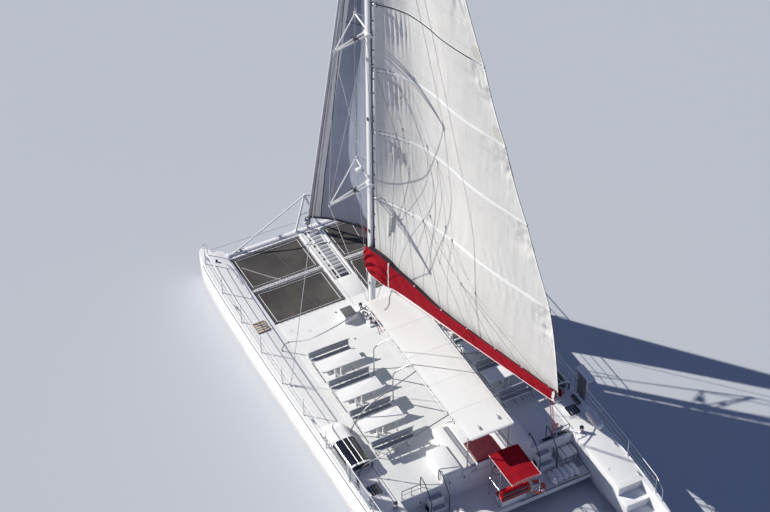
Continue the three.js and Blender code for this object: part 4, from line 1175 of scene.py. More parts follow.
def sailPaint(name, white, shade, seamStep, seamLow, leechShade=None):
    paint = Paint(name, white, 0.75)
    x, y, z = paint.axes()
    seam = (z - seamLow + 40 * seamStep).repeat(seamStep)
    seamLine = 1 - seam.ramp(0.012, 0.022)
    stitch = 1 - abs(seam - 0.045).ramp(0.004, 0.008)
    cloud = paint.noise(0.45, 4).ramp(0.35, 0.75)
    crease = paint.noise(1.9, 5, (1.6, 1.6, 0.55))
    streak = paint.noise(2.4, 4, (1.5, 1.5, 0.13)).ramp(0.42, 0.68)
    soil = paint.noise(1.2, 5, (1, 1, 0.4)).ramp(0.62, 0.85)
    # the cloth darkens where the crease noise rises: painted shade in the creases
    cloth = paint.mix(cloud * 0.4 + crease.ramp(0.4, 0.65) * 0.2 + streak * 0.25, white, shade)
    if leechShade:  # painted shade, darker towards the leech
        cloth = paint.mix((0 - x).ramp(*leechShade) * 0.75, cloth, tint(shade, 0.6))
    cloth = paint.mix(soil * 0.3, cloth, tint(shade, 0.82))
    cloth = paint.mix(seamLine * 0.13 + stitch * 0.07, cloth, tint(shade, 0.74))
    paint.feed("Base Color", cloth)
    paint.feed("Roughness", cloud * 0.1 + 0.68)
    thread = ((x + y) * 300).sine() * (z * 300).sine()
    paint.bump(crease * 0.8 + seamLine * 0.25 + streak * 0.3 + paint.noise(7, 4, (1, 1, 0.5)) * 0.3 + thread * 0.02,
               0.025, 0.6)
    return paint


finish["main"] = sailPaint("mainCloth", (0.72, 0.705, 0.665), (0.61, 0.6, 0.57), 0.46, 4.6)
# the jib's blue-grey cloth colours are painted shade, and its darkening towards the leech is painted shade too
finish["jib"] = sailPaint("jibCloth", (0.43, 0.455, 0.54), (0.3, 0.325, 0.41), 0.55, 2.2, leechShade=(-7.2, -5.0))
finish["tape"] = wovenPaint("sailTape", (0.86, 0.855, 0.835), crease=0.1, shade=0.92)
finish["patch"] = wovenPaint("leechPatch", (0.6, 0.58, 0.52), crease=0.3, shade=0.8)
finish["greyTape"] = wovenPaint("luffTape", (0.6, 0.57, 0.575), crease=0.15)
finish["hem"] = wovenPaint("bagHem", (0.86, 0.84, 0.83), crease=0.05, shade=0.93, sheen=0)
# near-black cloth for the shaded gap between the bag's top edge and the sail: painted shade
finish["gapShade"] = wovenPaint("bagGapShade", (0.055, 0.035, 0.045), crease=0.3, sheen=0)


def mainOff(s, z, off, ds=0.004, dz=0.03):  # a point beside the sail, off to leeward
    along = mainPoint(min(1, s + ds), z) - mainPoint(max(0, s - ds), z)
    up = mainPoint(s, z + dz) - mainPoint(s, z - dz)
    return mainPoint(s, z) + up.cross(along).normalized() * off


def strip(shape, path, wide, off, paint):  # a band of tape along a path of shares and heights
    shape.cloth([[mainOff(s, z + lift, off) for s, z in path] for lift in (-wide / 2, wide / 2)], 0.004, paint)


def makeMainsail():
    zs = np.concatenate([np.linspace(4.38, 17.5, 150), np.linspace(17.65, 24.9, 46)])
    ss = np.concatenate([np.linspace(0, 0.3, 38), np.linspace(0.31, 0.85, 42), np.linspace(0.86, 1, 22)])
    cloth = Shape(swung)
    cloth.cloth([[mainPoint(float(s), float(z)) for s in ss] for z in zs], 0.012, "main")
    piece = cloth.make("mainsailCloth", "boom", ("mainsail",), "sailcloth", sharp=70)
    trim = Shape(swung)
    for k, z in enumerate(sail["battens"]):
        path = [(s, z + sail["rise"][k] * s ** 1.6) for s in np.linspace(0.004, 0.996, 60)]
        for off in (-0.0095, 0.0095):
            strip(trim, path, 0.11, off, "tape")
            if k == 3:  # the black batten
                strip(trim, path, 0.055, off * 1.6, "black")
            for s in np.arange(0.02, 0.02 + 0.02 * (9 - 2 * k), 0.02):  # stitched ends of the pockets
                for lift in (-0.075, 0.075):
                    strip(trim, [(s, z + lift), (s + 0.009, z + lift)], 0.024, off * 1.2, "charcoal")
        end = z + sail["rise"][k]
        chord = glideTable(sail["leech"], end)[0]
        at = mainPoint(1, end)
        trim.block(at + Vector((-0.1, -0.03, -0.05)), at + Vector((0.02, 0.03, 0.05)), "whiteTape", 0.012)
        # car from the luff to the mast's track
        trim.block((-0.068, -0.018, z - 0.09), (0.075, 0.018, z + 0.09), "black", 0.008)
        trim.block((0.05, -0.026, z - 0.05), (0.2, 0.026, z + 0.05), "steel", 0.01)
        if z > 16.2 or z < 13:
            continue
        for off in (-0.0095, 0.0095):
            rows = [[mainOff(1 - (0.05 + d * 0.42 * sin(3 * u + 0.6)) / chord, end + u, off)
                     for d in np.linspace(0, 1, 8)] for u in np.linspace(0.1, 0.6, 9)]
            trim.cloth(rows, 0.004, "patch")
    for z in np.arange(4.9, 24.6, 0.62):  # slides between the cars
        if min(abs(z - b) for b in sail["battens"]) > 0.2:
            trim.block((-0.066, -0.012, z - 0.03), (0.075, 0.012, z + 0.03), "black", 0.006)
    for s, wide in ((0.0, 0.05), (1.0, 0.06)):  # luff and leech tapes
        for off in (-0.0088, 0.0088):
            trim.cloth([[mainOff(abs(s - t * wide / glideTable(sail["leech"], float(z))[0]), float(z), off)
                         for z in np.linspace(4.4, 24.85, 130)] for t in (0, 1)], 0.004, "tape")
    for off in (-0.009, 0.009):  # foot tape and corner patches
        trim.cloth([[mainOff(s, 4.385 + lift, off) for s in np.linspace(0.003, 0.995, 60)]
                    for lift in (0.002, 0.13)], 0.004, "tape")
        trim.cloth([[mainOff(1 - t * 1.5 / 9.4 * (1 - u * 0.85) - 0.002, 4.4 + 1.5 * u, off)
                     for t in np.linspace(0, 1, 9)] for u in np.linspace(0, 1, 12)], 0.003, "main")
        trim.cloth([[mainOff(0.002 + t * 0.9 / 9.4 * (1 - u * 0.85), 4.4 + 1.2 * u, off)
                     for t in np.linspace(0, 1, 7)] for u in np.linspace(0, 1, 10)], 0.003, "main")
    trim.tube([mainPoint(1, float(z)) for z in np.linspace(4.45, 24.8, 200)], 0.011, "leechRedShade", 6)  # leech line, dark maroon: partly painted shade of the leech's edge
    for z in (7.15, 10.2):  # rows of reef eyes
        for s in np.linspace(0.08, 0.93, 11):
            for off in (-1, 1):
                at = mainOff(s, z, 0.006 * off)
                ahead = mainOff(s, z, 0.016 * off) - at
                trim.lathe([(0.018, 0), (0.022, 0.003), (0.018, 0.005), (0.01, 0.003), (0.01, 0)], "steel", at,
                           ahead, 10)
    extra = trim.make("mainsailTrim", "boom", slot="sailcloth", sharp=50)
    area = sum(glideTable(sail["leech"], z)[0] for z in np.linspace(4.38, 24.9, 200)) / 200 * 20.52


def jibPoint(s, h):
    luff = stayAt(jibPlan["luffFoot"] + h * (jibPlan["luffHead"] - jibPlan["luffFoot"])) - Vector((0.0321, 0, 0))
    z = 2.55 + h * (21.2 - 2.55)
    x, y = glideTable(jibPlan["leech"], z)
    leech = Vector((x, y, z))
    chord = hypot(luff.x - x, luff.y - y)
    belly = lerpTable(jibPlan["depth"], h) * chord * 3.4 * s * (1 - s) * (1.3 - 0.6 * s)
    belly += 0.012 * sin(22 * s + 5 * h) * sin(pi * s) * (1 - h)
    # soft folds that run up from the sheet's pull at the clew
    reach = hypot((1 - s) * chord, h * 18)
    fan = atan2(h * 18, (1 - s) * chord + 0.01)
    belly += 0.02 * exp(-(reach / 3.5) ** 2) * sin(26 * fan) * min(1, reach)
    point = luff.lerp(leech, s)
    point.x += belly * 0.2
    point.y -= belly
    point.z -= (1 - h) ** 6 * s * (1 - s)
    return point


def jibOff(s, h, off, ds=0.01, dh=0.004):
    along = jibPoint(min(1, s + ds), h) - jibPoint(max(0, s - ds), h)
    up = jibPoint(s, min(1, h + dh)) - jibPoint(s, max(0, h - dh))
    return jibPoint(s, h) + along.cross(up).normalized() * off


def makeJib():
    cloth = Shape()
    hs = np.concatenate([np.linspace(0, 0.2, 40), np.linspace(0.21, 1, 70)])
    ss = np.linspace(0, 1, 54)
    cloth.cloth([[jibPoint(float(s), float(h)) for s in ss] for h in hs], 0.01, "jib")
    piece = cloth.make("jibSail", nodes=("jib",), slot="jibcloth", sharp=70)
    trim = Shape()
    def chordAt(h):
        return (jibPoint(0, h) - jibPoint(1, h)).length

    # the white band beside the luff is painted light, standing for a sunlit strip
    def strips(h):  # bands beside the luff, from and to, in metres; the black one crosses the white
        shift = 0.3 - 0.15 * min(1, max(0, (h - 0.3) / 0.35))
        return (0.0, 0.155), (0.155, 0.3), (shift, shift + 0.025), (0.05, 0.062)

    for off in (-0.008, 0.008):
        for k, (paint, lift) in enumerate((("greyTape", 1), ("tape", 1), ("black", 1.4), ("charcoal", 1.4))):
            rows = []
            for h in np.linspace(0.002, 0.985, 90):
                a, b = strips(h)[k]
                rows.append([jibOff(min(0.9, (a + t * (b - a)) / chordAt(h)), h, off * lift)
                             for t in np.linspace(0, 1, 3)])
            trim.cloth(rows, 0.004, paint)
        trim.cloth([[jibOff(s, h, off) for s in np.linspace(0.01, 0.99, 50)] for h in (0.598, 0.6005)], 0.003,
                   "charcoal")
        rows = [[jibOff(1 - t * 0.09 / chordAt(h), h, off) for t in (0, 1)] for h in np.linspace(0.002, 0.985, 90)]
        trim.cloth(rows, 0.004, "tape")
        for a, b, s0, s1, paint in ((0.0002, 0.0085, 0.36, 0.996, "footRed"),
                                    (0.0002, 0.0065, 0.004, 0.36, "charcoal"),
                                    (0.0085, 0.0105, 0.3, 0.996, "charcoal")):
            trim.cloth([[jibOff(s, h, off * 2.6) for s in np.linspace(s0, s1, 50)] for h in (a, b)], 0.004, paint)
        for k in range(5):  # clew patches in white tape: partly painted light, standing also for the sunlit corner at the clew
            size = 1.5 - 0.28 * k
            rows = [[jibOff(1 - t * size / chordAt(0) * (1 - u), 0.001 + u * size * 1.3 / 18,
                            off * (1.25 + 0.25 * k)) for t in np.linspace(0, 1, 8)]
                    for u in np.linspace(0, 0.96, 10)]
            trim.cloth(rows, 0.002, "tape")
    clew = jibPoint(1, 0)
    trim.lathe(mirrored(0, [(0.02, 0.012), (0.045, 0.012)], apex=(0.05, 0)), "steel",
               clew + Vector((0.07, -0.03, 0.09)), (0.3, 1, 0), 16)
    extra = trim.make("jibTrim", slot="jibcloth", sharp=50)
    area = sum(chordAt(h) for h in np.linspace(0, 1, 60)) / 60 * 19.4
    round(chordAt(0) + 0.5, 2)
    sheets = Shape()  # taut, from the clew to the deck blocks
    for end, paint in (((3.0, -1.62, 1.6), "redRope"), ((3.12, -1.52, 1.6), "darkRope")):
        sheets.tube([clew + Vector((0.06, -0.03, 0.07)), end], 0.008, paint, 7)
        base = Vector(end)
        sheets.block(base - Vector((0.05, 0.02, 0.06)), base + Vector((0.05, 0.02, 0.03)), "black", 0.015)
        sheets.tube([base + Vector((0, 0, -0.05)), (base.x, base.y, 1.502)], 0.012, "steel", 8)
    sheets.make("jibSheets", slot="steel")


def makeBoom():
    start, end, half, high = sail["boom"]
    shape = Shape(swung)
    rings = []
    for r, grow in ((start, -0.02), (start + 0.03, 0), (3, 0), (6, 0), (end - 0.03, 0), (end, -0.01)):
        low, top, soft = boomLow(r), boomLow(r) + high, 0.035
        ring = []
        for cy, cz, t0 in ((half - soft, top - soft, 0), (-half + soft, top - soft, 90),
                           (-half + soft, low + soft, 180), (half - soft, low + soft, 270)):
            for k in range(5):
                t = radians(t0 + 22.5 * k)
                ring.append((r, cy + (soft + grow) * cos(t), cz + (soft + grow) * sin(t)))
        rings.append(ring)
    shape.loft(rings, "spar")
    shape.lathe([(0.0195, 0.006), (0.05, 0.006), (0.055, 0.014), (0.055, high - 0.014), (0.05, high - 0.006),
                 (0.0195, high - 0.006)], "steel", (0, 0, boomLow(0)), sides=24)
    shape.block((0.04, -0.045, boomLow(0) + 0.035), (0.33, 0.045, boomLow(0) + 0.185), "steel", 0.012)
    low = boomLow(end)
    shape.block((end - 0.01, -0.07, low + 0.02), (end + 0.12, 0.07, low + 0.2), "spar", 0.02, 3)
    for w in (-0.045, 0, 0.045):
        shape.lathe(mirrored(0, [(0.0, 0.014), (0.045, 0.014)], apex=(0.03, 0)), "black",
                    (end + 0.1, w, low + 0.11), (0, 1, 0), 14)
    for r in (2.0, 5.2, 8.6, 9.05):  # bails and blocks under the boom
        base = boomLow(r)
        shape.tube(mirrored(0, [(r, 0.06, base + 0.01), (r, 0.03, base - 0.05)]), 0.009, "steel", 7, 4)
        if r > 5:
            shape.lathe(mirrored(0, [(0, 0.022), (0.045, 0.022)], apex=(0.052, 0)), "black",
                        (r, 0, base - 0.1), (0, 1, 0), 16)
    shape.tube([(1.2, -0.115, boomLow(1.2) + 0.045), (5, -0.116, boomLow(5) + 0.045),
                (9.3, -0.115, boomLow(9.3) + 0.045)], 0.008, "redRope", 6)
    shape.make("boomSpar", "boom", ("boom",), "spar")
    # gooseneck on the mast
    lug = Shape()
    x, y = sail["axis"]
    for low, high2 in ((3.57, 3.62), (3.88, 3.92)):
        lug.slab(mirrored(0, [(x - 0.045, 0.02), (x - 0.02, 0.035), (3.433, 0.05)]), low, high2, "steel", 0.006)
    lug.block((3.41, -0.06, 3.5), (3.44, 0.06, 4.0), "steel", 0.008)
    lug.lathe([(0, -0.015), (0.026, -0.015), (0.026, 0), (0.018, 0), (0.018, 0.35), (0.026, 0.35), (0.026, 0.365),
               (0, 0.367)], "steel", (x, y, 3.57), sides=18)
    lug.make("boomPivot", nodes=("gooseneck",), slot="steel")


def bagTop(r):
    top = glideTable([(row[0], row[2]) for row in sail["bag"]], min(max(r, -0.5), 9.4))[0]
    return top - (0.022 * sin(pi * ((r - 1) / 1.35 % 1)) if r > 1 else 0)


def bagPlan():  # starboard side from aft, round the mast, and back along the port side: along, leeward
    table = [(row[0], row[3]) for row in sail["bag"]]
    run = [Vector((r, glideTable(table, r)[0], 0)) for r in np.linspace(9.4, 0.42, 110)]
    half = [Vector((r, w, 0)) for r, w in sail["wrap"]]
    front = glide([*half, *(Vector((p.x, -p.y, 0)) for p in half[-2::-1])], 17)
    bent = []
    for p in front:  # the fold lines up with the mast at the front
        lean = -radians(sail["eased"]) * min(1, max(0, (0.25 - p.x) / 0.45))
        c, s = cos(lean), sin(lean)
        bent.append(Vector((p.x * c - p.y * s, p.x * s + p.y * c, 0)))
    return [*run, *bent, *(Vector((p.x, -p.y, 0)) for p in run[::-1])]


def bagPoint(plan, k, u):
    p = plan[k]
    ahead = (plan[min(k + 1, len(plan) - 1)] - plan[max(k - 1, 0)]).normalized()
    off = Vector((-ahead.y, ahead.x, 0))
    if k < len(plan) / 2 and off.y < 0 and p.x > 0.4 or k >= len(plan) / 2 and off.y > 0 and p.x > 0.4:
        off = -off
    if p.x <= 0.4 and off.dot(p - Vector((0.2, 0, 0))) < 0:
        off = -off
    r = p.x
    low = glideTable([(row[0], row[1]) for row in sail["bag"]], max(r, -0.5))[0]
    top = bagTop(r)
    middle = sin(pi * u)
    out = 0.025 * middle + 0.009 * sin(9.3 * r + 5 * u) * middle + 0.01 * sin(3.1 * r - 9 * u) * u * (1 - u) * 2
    out += 0.012 * middle * sin(5.5 * r + 14 * u) * max(0, min(1, (r - 7.2) / 1.2))
    front = min(1, max(0, (1.02 - r) / 0.25))
    if front:  # swags round the mast
        hang = u + 0.42 * ((r - 0.42) / 0.6) ** 2 * (1 if k > len(plan) / 2 else 0.8)
        fold = (0.5 + 0.5 * sin(2 * pi * 3.1 * hang + 0.8 * sin(4 * r))) ** 1.6
        fine = 0.5 + 0.5 * sin(2 * pi * 7.3 * hang + 5 * r)
        out += front * (0.085 * fold + 0.016 * fine) * min(1, middle * 1.7)
    return p + off * out + Vector((0, 0, low + u * (top - low)))


def makeBag():
    plan = bagPlan()
    grid = [[bagPoint(plan, k, float(u)) for k in range(len(plan))] for u in np.linspace(0, 1, 34)]
    shape = Shape(swung)
    shape.cloth(grid, sail["bagThick"], "red")
    bag = shape.make("bagCloth", None, ("sail_bag",), "canvas", sharp=60)
    trim = Shape(swung)
    half = len(plan) // 2
    for side, ks in ((1, range(0, half - 26)), (-1, range(len(plan) - 1, half + 26, -1))):
        rows = []  # dark sheets from the top edge in to the sail: painted shade of the gap into the bag
        for t in np.linspace(0, 1, 4):
            row = []
            for k in ks:
                edge = grid[-1][k]
                reach = lerpTable([(0.3, 0.92), (1.2, 0.9), (2.8, 0.7), (4, 0.42), (9.4, 0.3)], edge.x)
                row.append(Vector((edge.x, edge.y * (1 - t * reach),
                                   edge.z - 0.006 - 0.05 * sin(pi * t / 2) * reach)))
            rows.append(row)
        trim.cloth(rows, 0.006, "gapShade")
        # the web that carries the bag on the boom
        web = [[Vector((r, side * w, up + (boomLow(r) if up < 1 else 0))) for r in np.linspace(0.5, 9.3, 30)]
               for w, up in ((0.014, 0.228), (0.09, 0.232), (0.15, 0.24))]
        trim.cloth(web, 0.006, "red")
    # the top edge's tube is drawn in the same dark painted shade
    for row, paint, r in ((-1, "gapShade", 0.011), (0, "hem", 0.019), (27, "red", 0.006)):
        trim.tube(grid[row], r, paint, 7)
    for side in (1, -1):
        for r in (1.02, 2.35, 3.7, 5.05, 6.4, 7.75, 9.1, 9.34):  # straps and tabs for the lazy lines
            near = min(range(len(plan)), key=lambda k: abs(plan[k].x - r) + (plan[k].y * side < 0))
            wide, tape = (0.035, "greyTape") if r < 1.1 else (0.012, "red") if r < 9.2 else (0.06, "whiteTape")
            rows = [[grid[n][near] + Vector((way * wide, side * 0.013, 0)) for n in range(34)] for way in (-1, 1)]
            trim.cloth(rows, 0.004, tape)
            top = grid[-1][near]
            trim.block(top + Vector((-0.03, -0.012, -0.03)), top + Vector((0.03, 0.02, 0.03)), "greyTape", 0.008)
    extra = trim.make("bagTrim", None, slot="canvas", sharp=50)
    for piece in (bag, extra):  # each piece's transform is baked into its mesh
        tuple(swung((-0.15, 0, 4.4)))
        tuple(swung((0.95, 0, 4.4)))
        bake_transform(piece)


def makeLazyLines():
    # upper anchor on the mast, then a tree of lines to the bag's edge: aft, leeward, up
    shape = Shape(swung)
    for side in (-1, 1):
        head = Vector((-0.22, side * 0.14, 14.65))
        knots = [Vector((1.35, side * 0.165, 11.4)), Vector((2.75, side * 0.17, 8.3)),
                 Vector((4.7, side * 0.17, 6.6))]
        tabs = [Vector((r, side * 0.168, bagTop(r) + 0.04)) for r in (1.02, 2.35, 3.7, 5.05, 6.4, 7.75, 9.1)]
        runs = [(head, knots[0]), (knots[0], knots[1]), (knots[1], knots[2]), (knots[0], tabs[0]),
                (knots[0], tabs[1]), (knots[1], tabs[2]), (knots[1], tabs[3]), (knots[2], tabs[4]),
                (knots[2], tabs[5]), (knots[2], tabs[6]), (head, Vector((0.6, side * 0.225, 5.16)))]
        for a, b in runs:
            shape.tube([a, a.lerp(b, 0.5) + Vector((0, 0, -0.012)), b], 0.006,
                       "darkRope" if side < 0 else "rope", 6, 3)
        for knot in knots:
            shape.block(knot - Vector((0.03, 0.014, 0.06)), knot + Vector((0.03, 0.014, 0.06)), "black", 0.012)
            shape.lathe(mirrored(0, [(0, 0.016), (0.03, 0.016)]), "steel", knot, (0, 1, 0), 12)
    shape.make("lazyLines", "boom", slot="steel")


makeMainsail()
makeJib()
makeBoom()
makeBag()
makeLazyLines()
print("stage: sails and boom")


# roof, its frame and the awning bows
roof = {
    "ends": (-5.43, 2.4),
    "half": 0.88,
    "low": 3.46,
    "top": 3.52,
    "tube": 0.025,
    "seams": (-3.95, -2.45, -0.9, 0.7),
    "bows": [(3.4, 3.88, 2.25), (-1.54, 3.56, -1.54), (-3.43, 4.19, -3.94)],  # foot along, foot out, top along
    "hoop": [(0, 1, 0.0003), (0, 1, 0.15), (0.15, 0.95, 0.52), (0.75, 0.82, 1.05), (1, 0.55, 1.53)],
}


def roofPaint():
    paint = Paint("roofPanel", (0.79, 0.795, 0.765), 0.6)
    soil = paint.noise(0.8, 5, (0.6, 1.4, 1)).ramp(0.4, 0.75)
    drip = paint.noise(2.2, 4, (0.35, 2.2, 1)).ramp(0.55, 0.8)
    base = paint.mix(soil * 0.5 + drip * 0.2, (0.81, 0.82, 0.79), (0.71, 0.71, 0.67))
    paint.feed("Base Color", base)
    paint.feed("Roughness", soil * 0.15 + 0.5)
    paint.bump(paint.noise(1.4, 2) * 0.8 + paint.noise(55, 2) * 0.05, 0.01, 0.5)
    return paint


finish["roof"] = roofPaint()


def roofTop(x, y):
    return roof["top"] - 0.012 * (y / roof["half"]) ** 2 - 0.004 * abs(sin(pi * (x - 0.7) / 1.55))


def makeRoof():
    aft, fore = roof["ends"]
    half, low = roof["half"], roof["low"]
    shape = Shape()
    rings = []
    xs = [aft, aft + 0.015, aft + 0.05, *np.linspace(aft + 0.12, fore - 0.12, 60), fore - 0.05, fore - 0.015, fore]
    for x in xs:
        near = min(x - aft, fore - x)
        pull = 0.06 * (1 - min(1, near / 0.09)) ** 2
        drop = 0.02 * (1 - min(1, near / 0.04))
        wide = half - pull
        ys = np.linspace(-wide, wide, 17)
        top = [(x, y, roofTop(x, y) - drop - (0.014 if abs(y) == wide else 0)) for y in ys]
        under = [(x, y, low + 0.004 + drop * 0.4) for y in (wide - 0.012, -wide + 0.012)]
        rings.append([*top, (x, wide, low + 0.016), *under, (x, -wide, low + 0.016)])
    shape.loft(rings, "roof")
    for x in roof["seams"]:
        shape.cloth([[(x + off, y, roofTop(x, y) + 0.0015) for y in np.linspace(-half + 0.02, half - 0.02, 13)]
                     for off in (-0.02, 0.02)], 0.003, "shell")
    for side in (-1, 1):  # edge beads
        shape.tube([(x, side * (half - 0.004), low + 0.03) for x in np.linspace(aft + 0.06, fore - 0.06, 24)],
                   0.012, "gelcoat", 8)
    for x, y in ((-5.08, 0.31), (-4.94, -0.53)):  # small folding cleats
        z = roofTop(x, y)
        shape.slab([(x - 0.12, y - 0.05), (x + 0.1, y - 0.06), (x + 0.02, y + 0.06), (x - 0.08, y + 0.05)],
                   z - 0.004, z + 0.012, "board", 0.003)
        shape.tube([(x - 0.1, y - 0.03, z + 0.01), (x - 0.02, y, z + 0.05), (x + 0.16, y + 0.02, z + 0.012)], 0.008,
                   "black", 6, 4)
    for x in np.arange(-5.2, 2.4, 0.76):
        for side in (-1, 1):
            shape.lathe([(0, 0), (0.012, 0), (0.01, 0.005), (0, 0.006)], "steel",
                        (x, side * 0.82, roofTop(x, 0.82) - 0.002), sides=8)
    shape.make("roofPanel", nodes=("hardtop",), slot="gelcoat")
    line = Shape()  # a lashing over the roof, and a rope's tail at its front edge
    line.tube([(-1.2, 0.93, 3.43), (-1.24, 0.895, 3.515),
               *[(-1.24 - 1.44 * t, 0.89 - 1.78 * t, roofTop(-2, 0.89 - 1.78 * t) + 0.008)
                 for t in np.linspace(0.03, 0.97, 9)], (-2.68, -0.895, 3.515), (-2.72, -0.93, 3.43)], 0.009,
              "darkRope", 6, 2)
    line.tube([(2.47, -0.21, 3.4), (2.43, -0.19, 3.525), (2.2, 0.0, 3.53), (1.94, 0.15, 3.53), (1.76, 0.34, 3.53),
               (1.7, 0.49, 3.528)], 0.007, "darkRope", 6, 5)
    line.make("roofLashing", slot="steel")


def flange(shape, x, y, z, r=0.05):
    shape.lathe([(0, 0), (r, 0), (r, 0.006), (r * 0.62, 0.014), (r * 0.56, 0.03), (r * 0.5, 0.032)], "steel",
                (x, y, z), sides=16)


def makeRoofFrame():
    r = roof["tube"]
    aft, fore = roof["ends"]
    tubeZ = roof["low"] - hair - r
    edge = 0.82
    shape = Shape()
    for x in (fore - 0.15, -1.5, aft + 0.15):
        shape.tube([(x, -edge, tubeZ), (x, edge, tubeZ)], r, "steel", 14)
    for x in (1.4, 0.2, -2.8, -4.0):
        shape.tube([(x, -edge, tubeZ + 0.006), (x, edge, tubeZ + 0.006)], 0.016, "steel", 10)
    for side in (-1, 1):
        shape.tube([(fore - 0.1, side * edge, tubeZ), (aft + 0.1, side * edge, tubeZ)], r, "steel", 14)
        shape.tube([(-5.14, side * edge, 1.8803), (-5.14, side * edge, tubeZ)], r, "steel", 14)
        flange(shape, -5.14, side * edge, 1.8803)
        for x in (0.69, -0.8):
            shape.tube([(x, side * 1.45, onDeck), (x, side * 1.45, 2.6), (x - 0.06, side * 1.4, 3.0),
                        (x - 0.29, side * edge, tubeZ)], r, "steel", 14, 7)
            flange(shape, x, side * 1.45, onDeck)
            shape.lathe(mirrored(0, [(r, 0.04), (r + 0.012, 0.03)]), "steel",
                        (x - 0.29, side * edge, tubeZ), (1, 0, 0), 14)
    shape.make("roofFrame", nodes=("hardtop_frame",), slot="steel")


def makeBows(side, where):
    railY, railZ = side * (roof["half"] + 0.06), roof["top"] - 0.08
    shape = Shape()
    shape.tube([(2.5, railY, railZ), (-4.4, railY, railZ)], 0.02, "tubing", 12)
    for x in (2.5, -4.4):
        shape.lathe([(0.02, -0.02), (0.024, -0.015), (0.024, 0.006), (0, 0.012)], "tubing", (x, railY, railZ),
                    (1 if x > 0 else -1, 0, 0), 12)
    for x in (1.9, -0.2, -2.6, -4.2):  # brackets to the roof's frame
        shape.block((x - 0.02, side * 0.846, railZ - 0.006), (x + 0.02, side * 0.925, railZ + 0.006),
                    "tubing", 0.003)
    for x, y, topX in roof["bows"]:
        points = [(x + along * (topX - x), side * out * y, 1.5 + up) for along, out, up in roof["hoop"]]
        shape.tube([*points, (topX, railY, railZ)], 0.0195, "tubing", 12, 7)
        flange(shape, x, side * y, onDeck, 0.045 if abs(y - 3.56) > 0.1 else 0.026)  # clear of the hood
        shape.lathe(mirrored(0, [(0.02, 0.03), (0.031, 0.025)]), "black", (topX, railY, railZ),
                    (1, 0, 0), 12)
        mid = points[2]
        shape.block((mid[0] - 0.03, mid[1] - 0.03, mid[2] - 0.02), (mid[0] + 0.03, mid[1] + 0.03, mid[2] + 0.03),
                    "tubing", 0.008)
    shape.make(f"awningBows_{where}", nodes=(f"awning_bows_{where}",), slot="steel")


makeRoof()
makeRoofFrame()
bothSides(makeBows)
print("stage: roof")


# benches, tables, island
seating = {
    "benches": (2.15, 0.52, -1.16, -2.85),
    "tables": (1.33, -0.32, -2.0),
    "span": (1.75, 3.4),
    "seat": 0.25,  # half depth
    "seatUp": (0.4, 0.44),
}


def makeBenches(side, where):
    a, b = (side * v for v in seating["span"])
    low, top = (1.5 + v for v in seating["seatUp"])
    half = seating["seat"]
    shape = Shape()
    for x in seating["benches"]:
        for way in (-1, 1):  # slatted seats to both sides of one back
            shape.block((x + way * (half - 0.04), a, low), (x + way * half, b, top + 0.004), "gelcoat", 0.012)
            for k in range(2):
                at = x + way * (0.045 + 0.082 * k)
                shape.block((at, a + side * 0.03, low + 0.012), (at + way * 0.068, b - side * 0.03, top),
                            "board", 0.007)
        for y in (a, b):
            shape.block((x - half, y, low), (x + half, y - side * 0.045 if y == b else y + side * 0.045,
                                             top + 0.004), "gelcoat", 0.012)
        for k in range(3):
            y = a + (b - a) * (k + 1) / 4
            shape.block((x - half + 0.02, y - 0.02, low + 0.002), (x + half - 0.02, y + 0.02, low + 0.02),
                        "gelcoat", 0.004)
        # back: grey panel in a white rim
        shape.block((x - 0.012, a + side * 0.03, top + 0.02), (x + 0.012, b - side * 0.03, 2.25), "board", 0.006)
        rim = [(x, a + side * 0.018, top), (x, a + side * 0.018, 2.2), (x, a + side * 0.075, 2.262),
               (x, b - side * 0.075, 2.262), (x, b - side * 0.018, 2.2), (x, b - side * 0.018, top)]
        shape.tube(rim, 0.018, "gelcoat", 10, 4)
        for z in (2.0, 2.13):
            shape.block((x - 0.017, a + side * 0.03, z), (x + 0.017, b - side * 0.03, z + 0.014), "gelcoat", 0.003)
        for y in (side * 2.0, side * 3.2):
            for way in (-1, 1):
                shape.tube([(x + way * 0.19, y, 1.5125), (x + way * 0.13, y, low + 0.004)], 0.017, "gelcoat", 10)
                shape.lathe([(0, 0), (0.034, 0), (0.034, 0.005), (0.02, 0.012)], "steel",
                            (x + way * 0.19, y, 1.5125), sides=12)
            shape.block((x - 0.2, y - 0.018, low - 0.035), (x + 0.2, y + 0.018, low + 0.002), "gelcoat", 0.006)
    for y in (side * 2.0, side * 3.2):
        shape.block((-3.05, y - 0.02, onDeck), (2.35, y + 0.02, 1.5123), "steel", 0.004)
    shape.make(f"seats_{where}", nodes=(f"benches_{where}",), slot="vinyl")


def roundedOutline(x0, x1, y0, y1, r, steps=6):
    x0, x1, y0, y1 = min(x0, x1), max(x0, x1), min(y0, y1), max(y0, y1)
    outline = []
    for cx, cy, t0 in ((x1 - r, y1 - r, 0), (x0 + r, y1 - r, 90), (x0 + r, y0 + r, 180), (x1 - r, y0 + r, 270)):
        for k in range(steps + 1):
            t = radians(t0 + 90 * k / steps)
            outline.append((cx + r * cos(t), cy + r * sin(t)))
    return outline


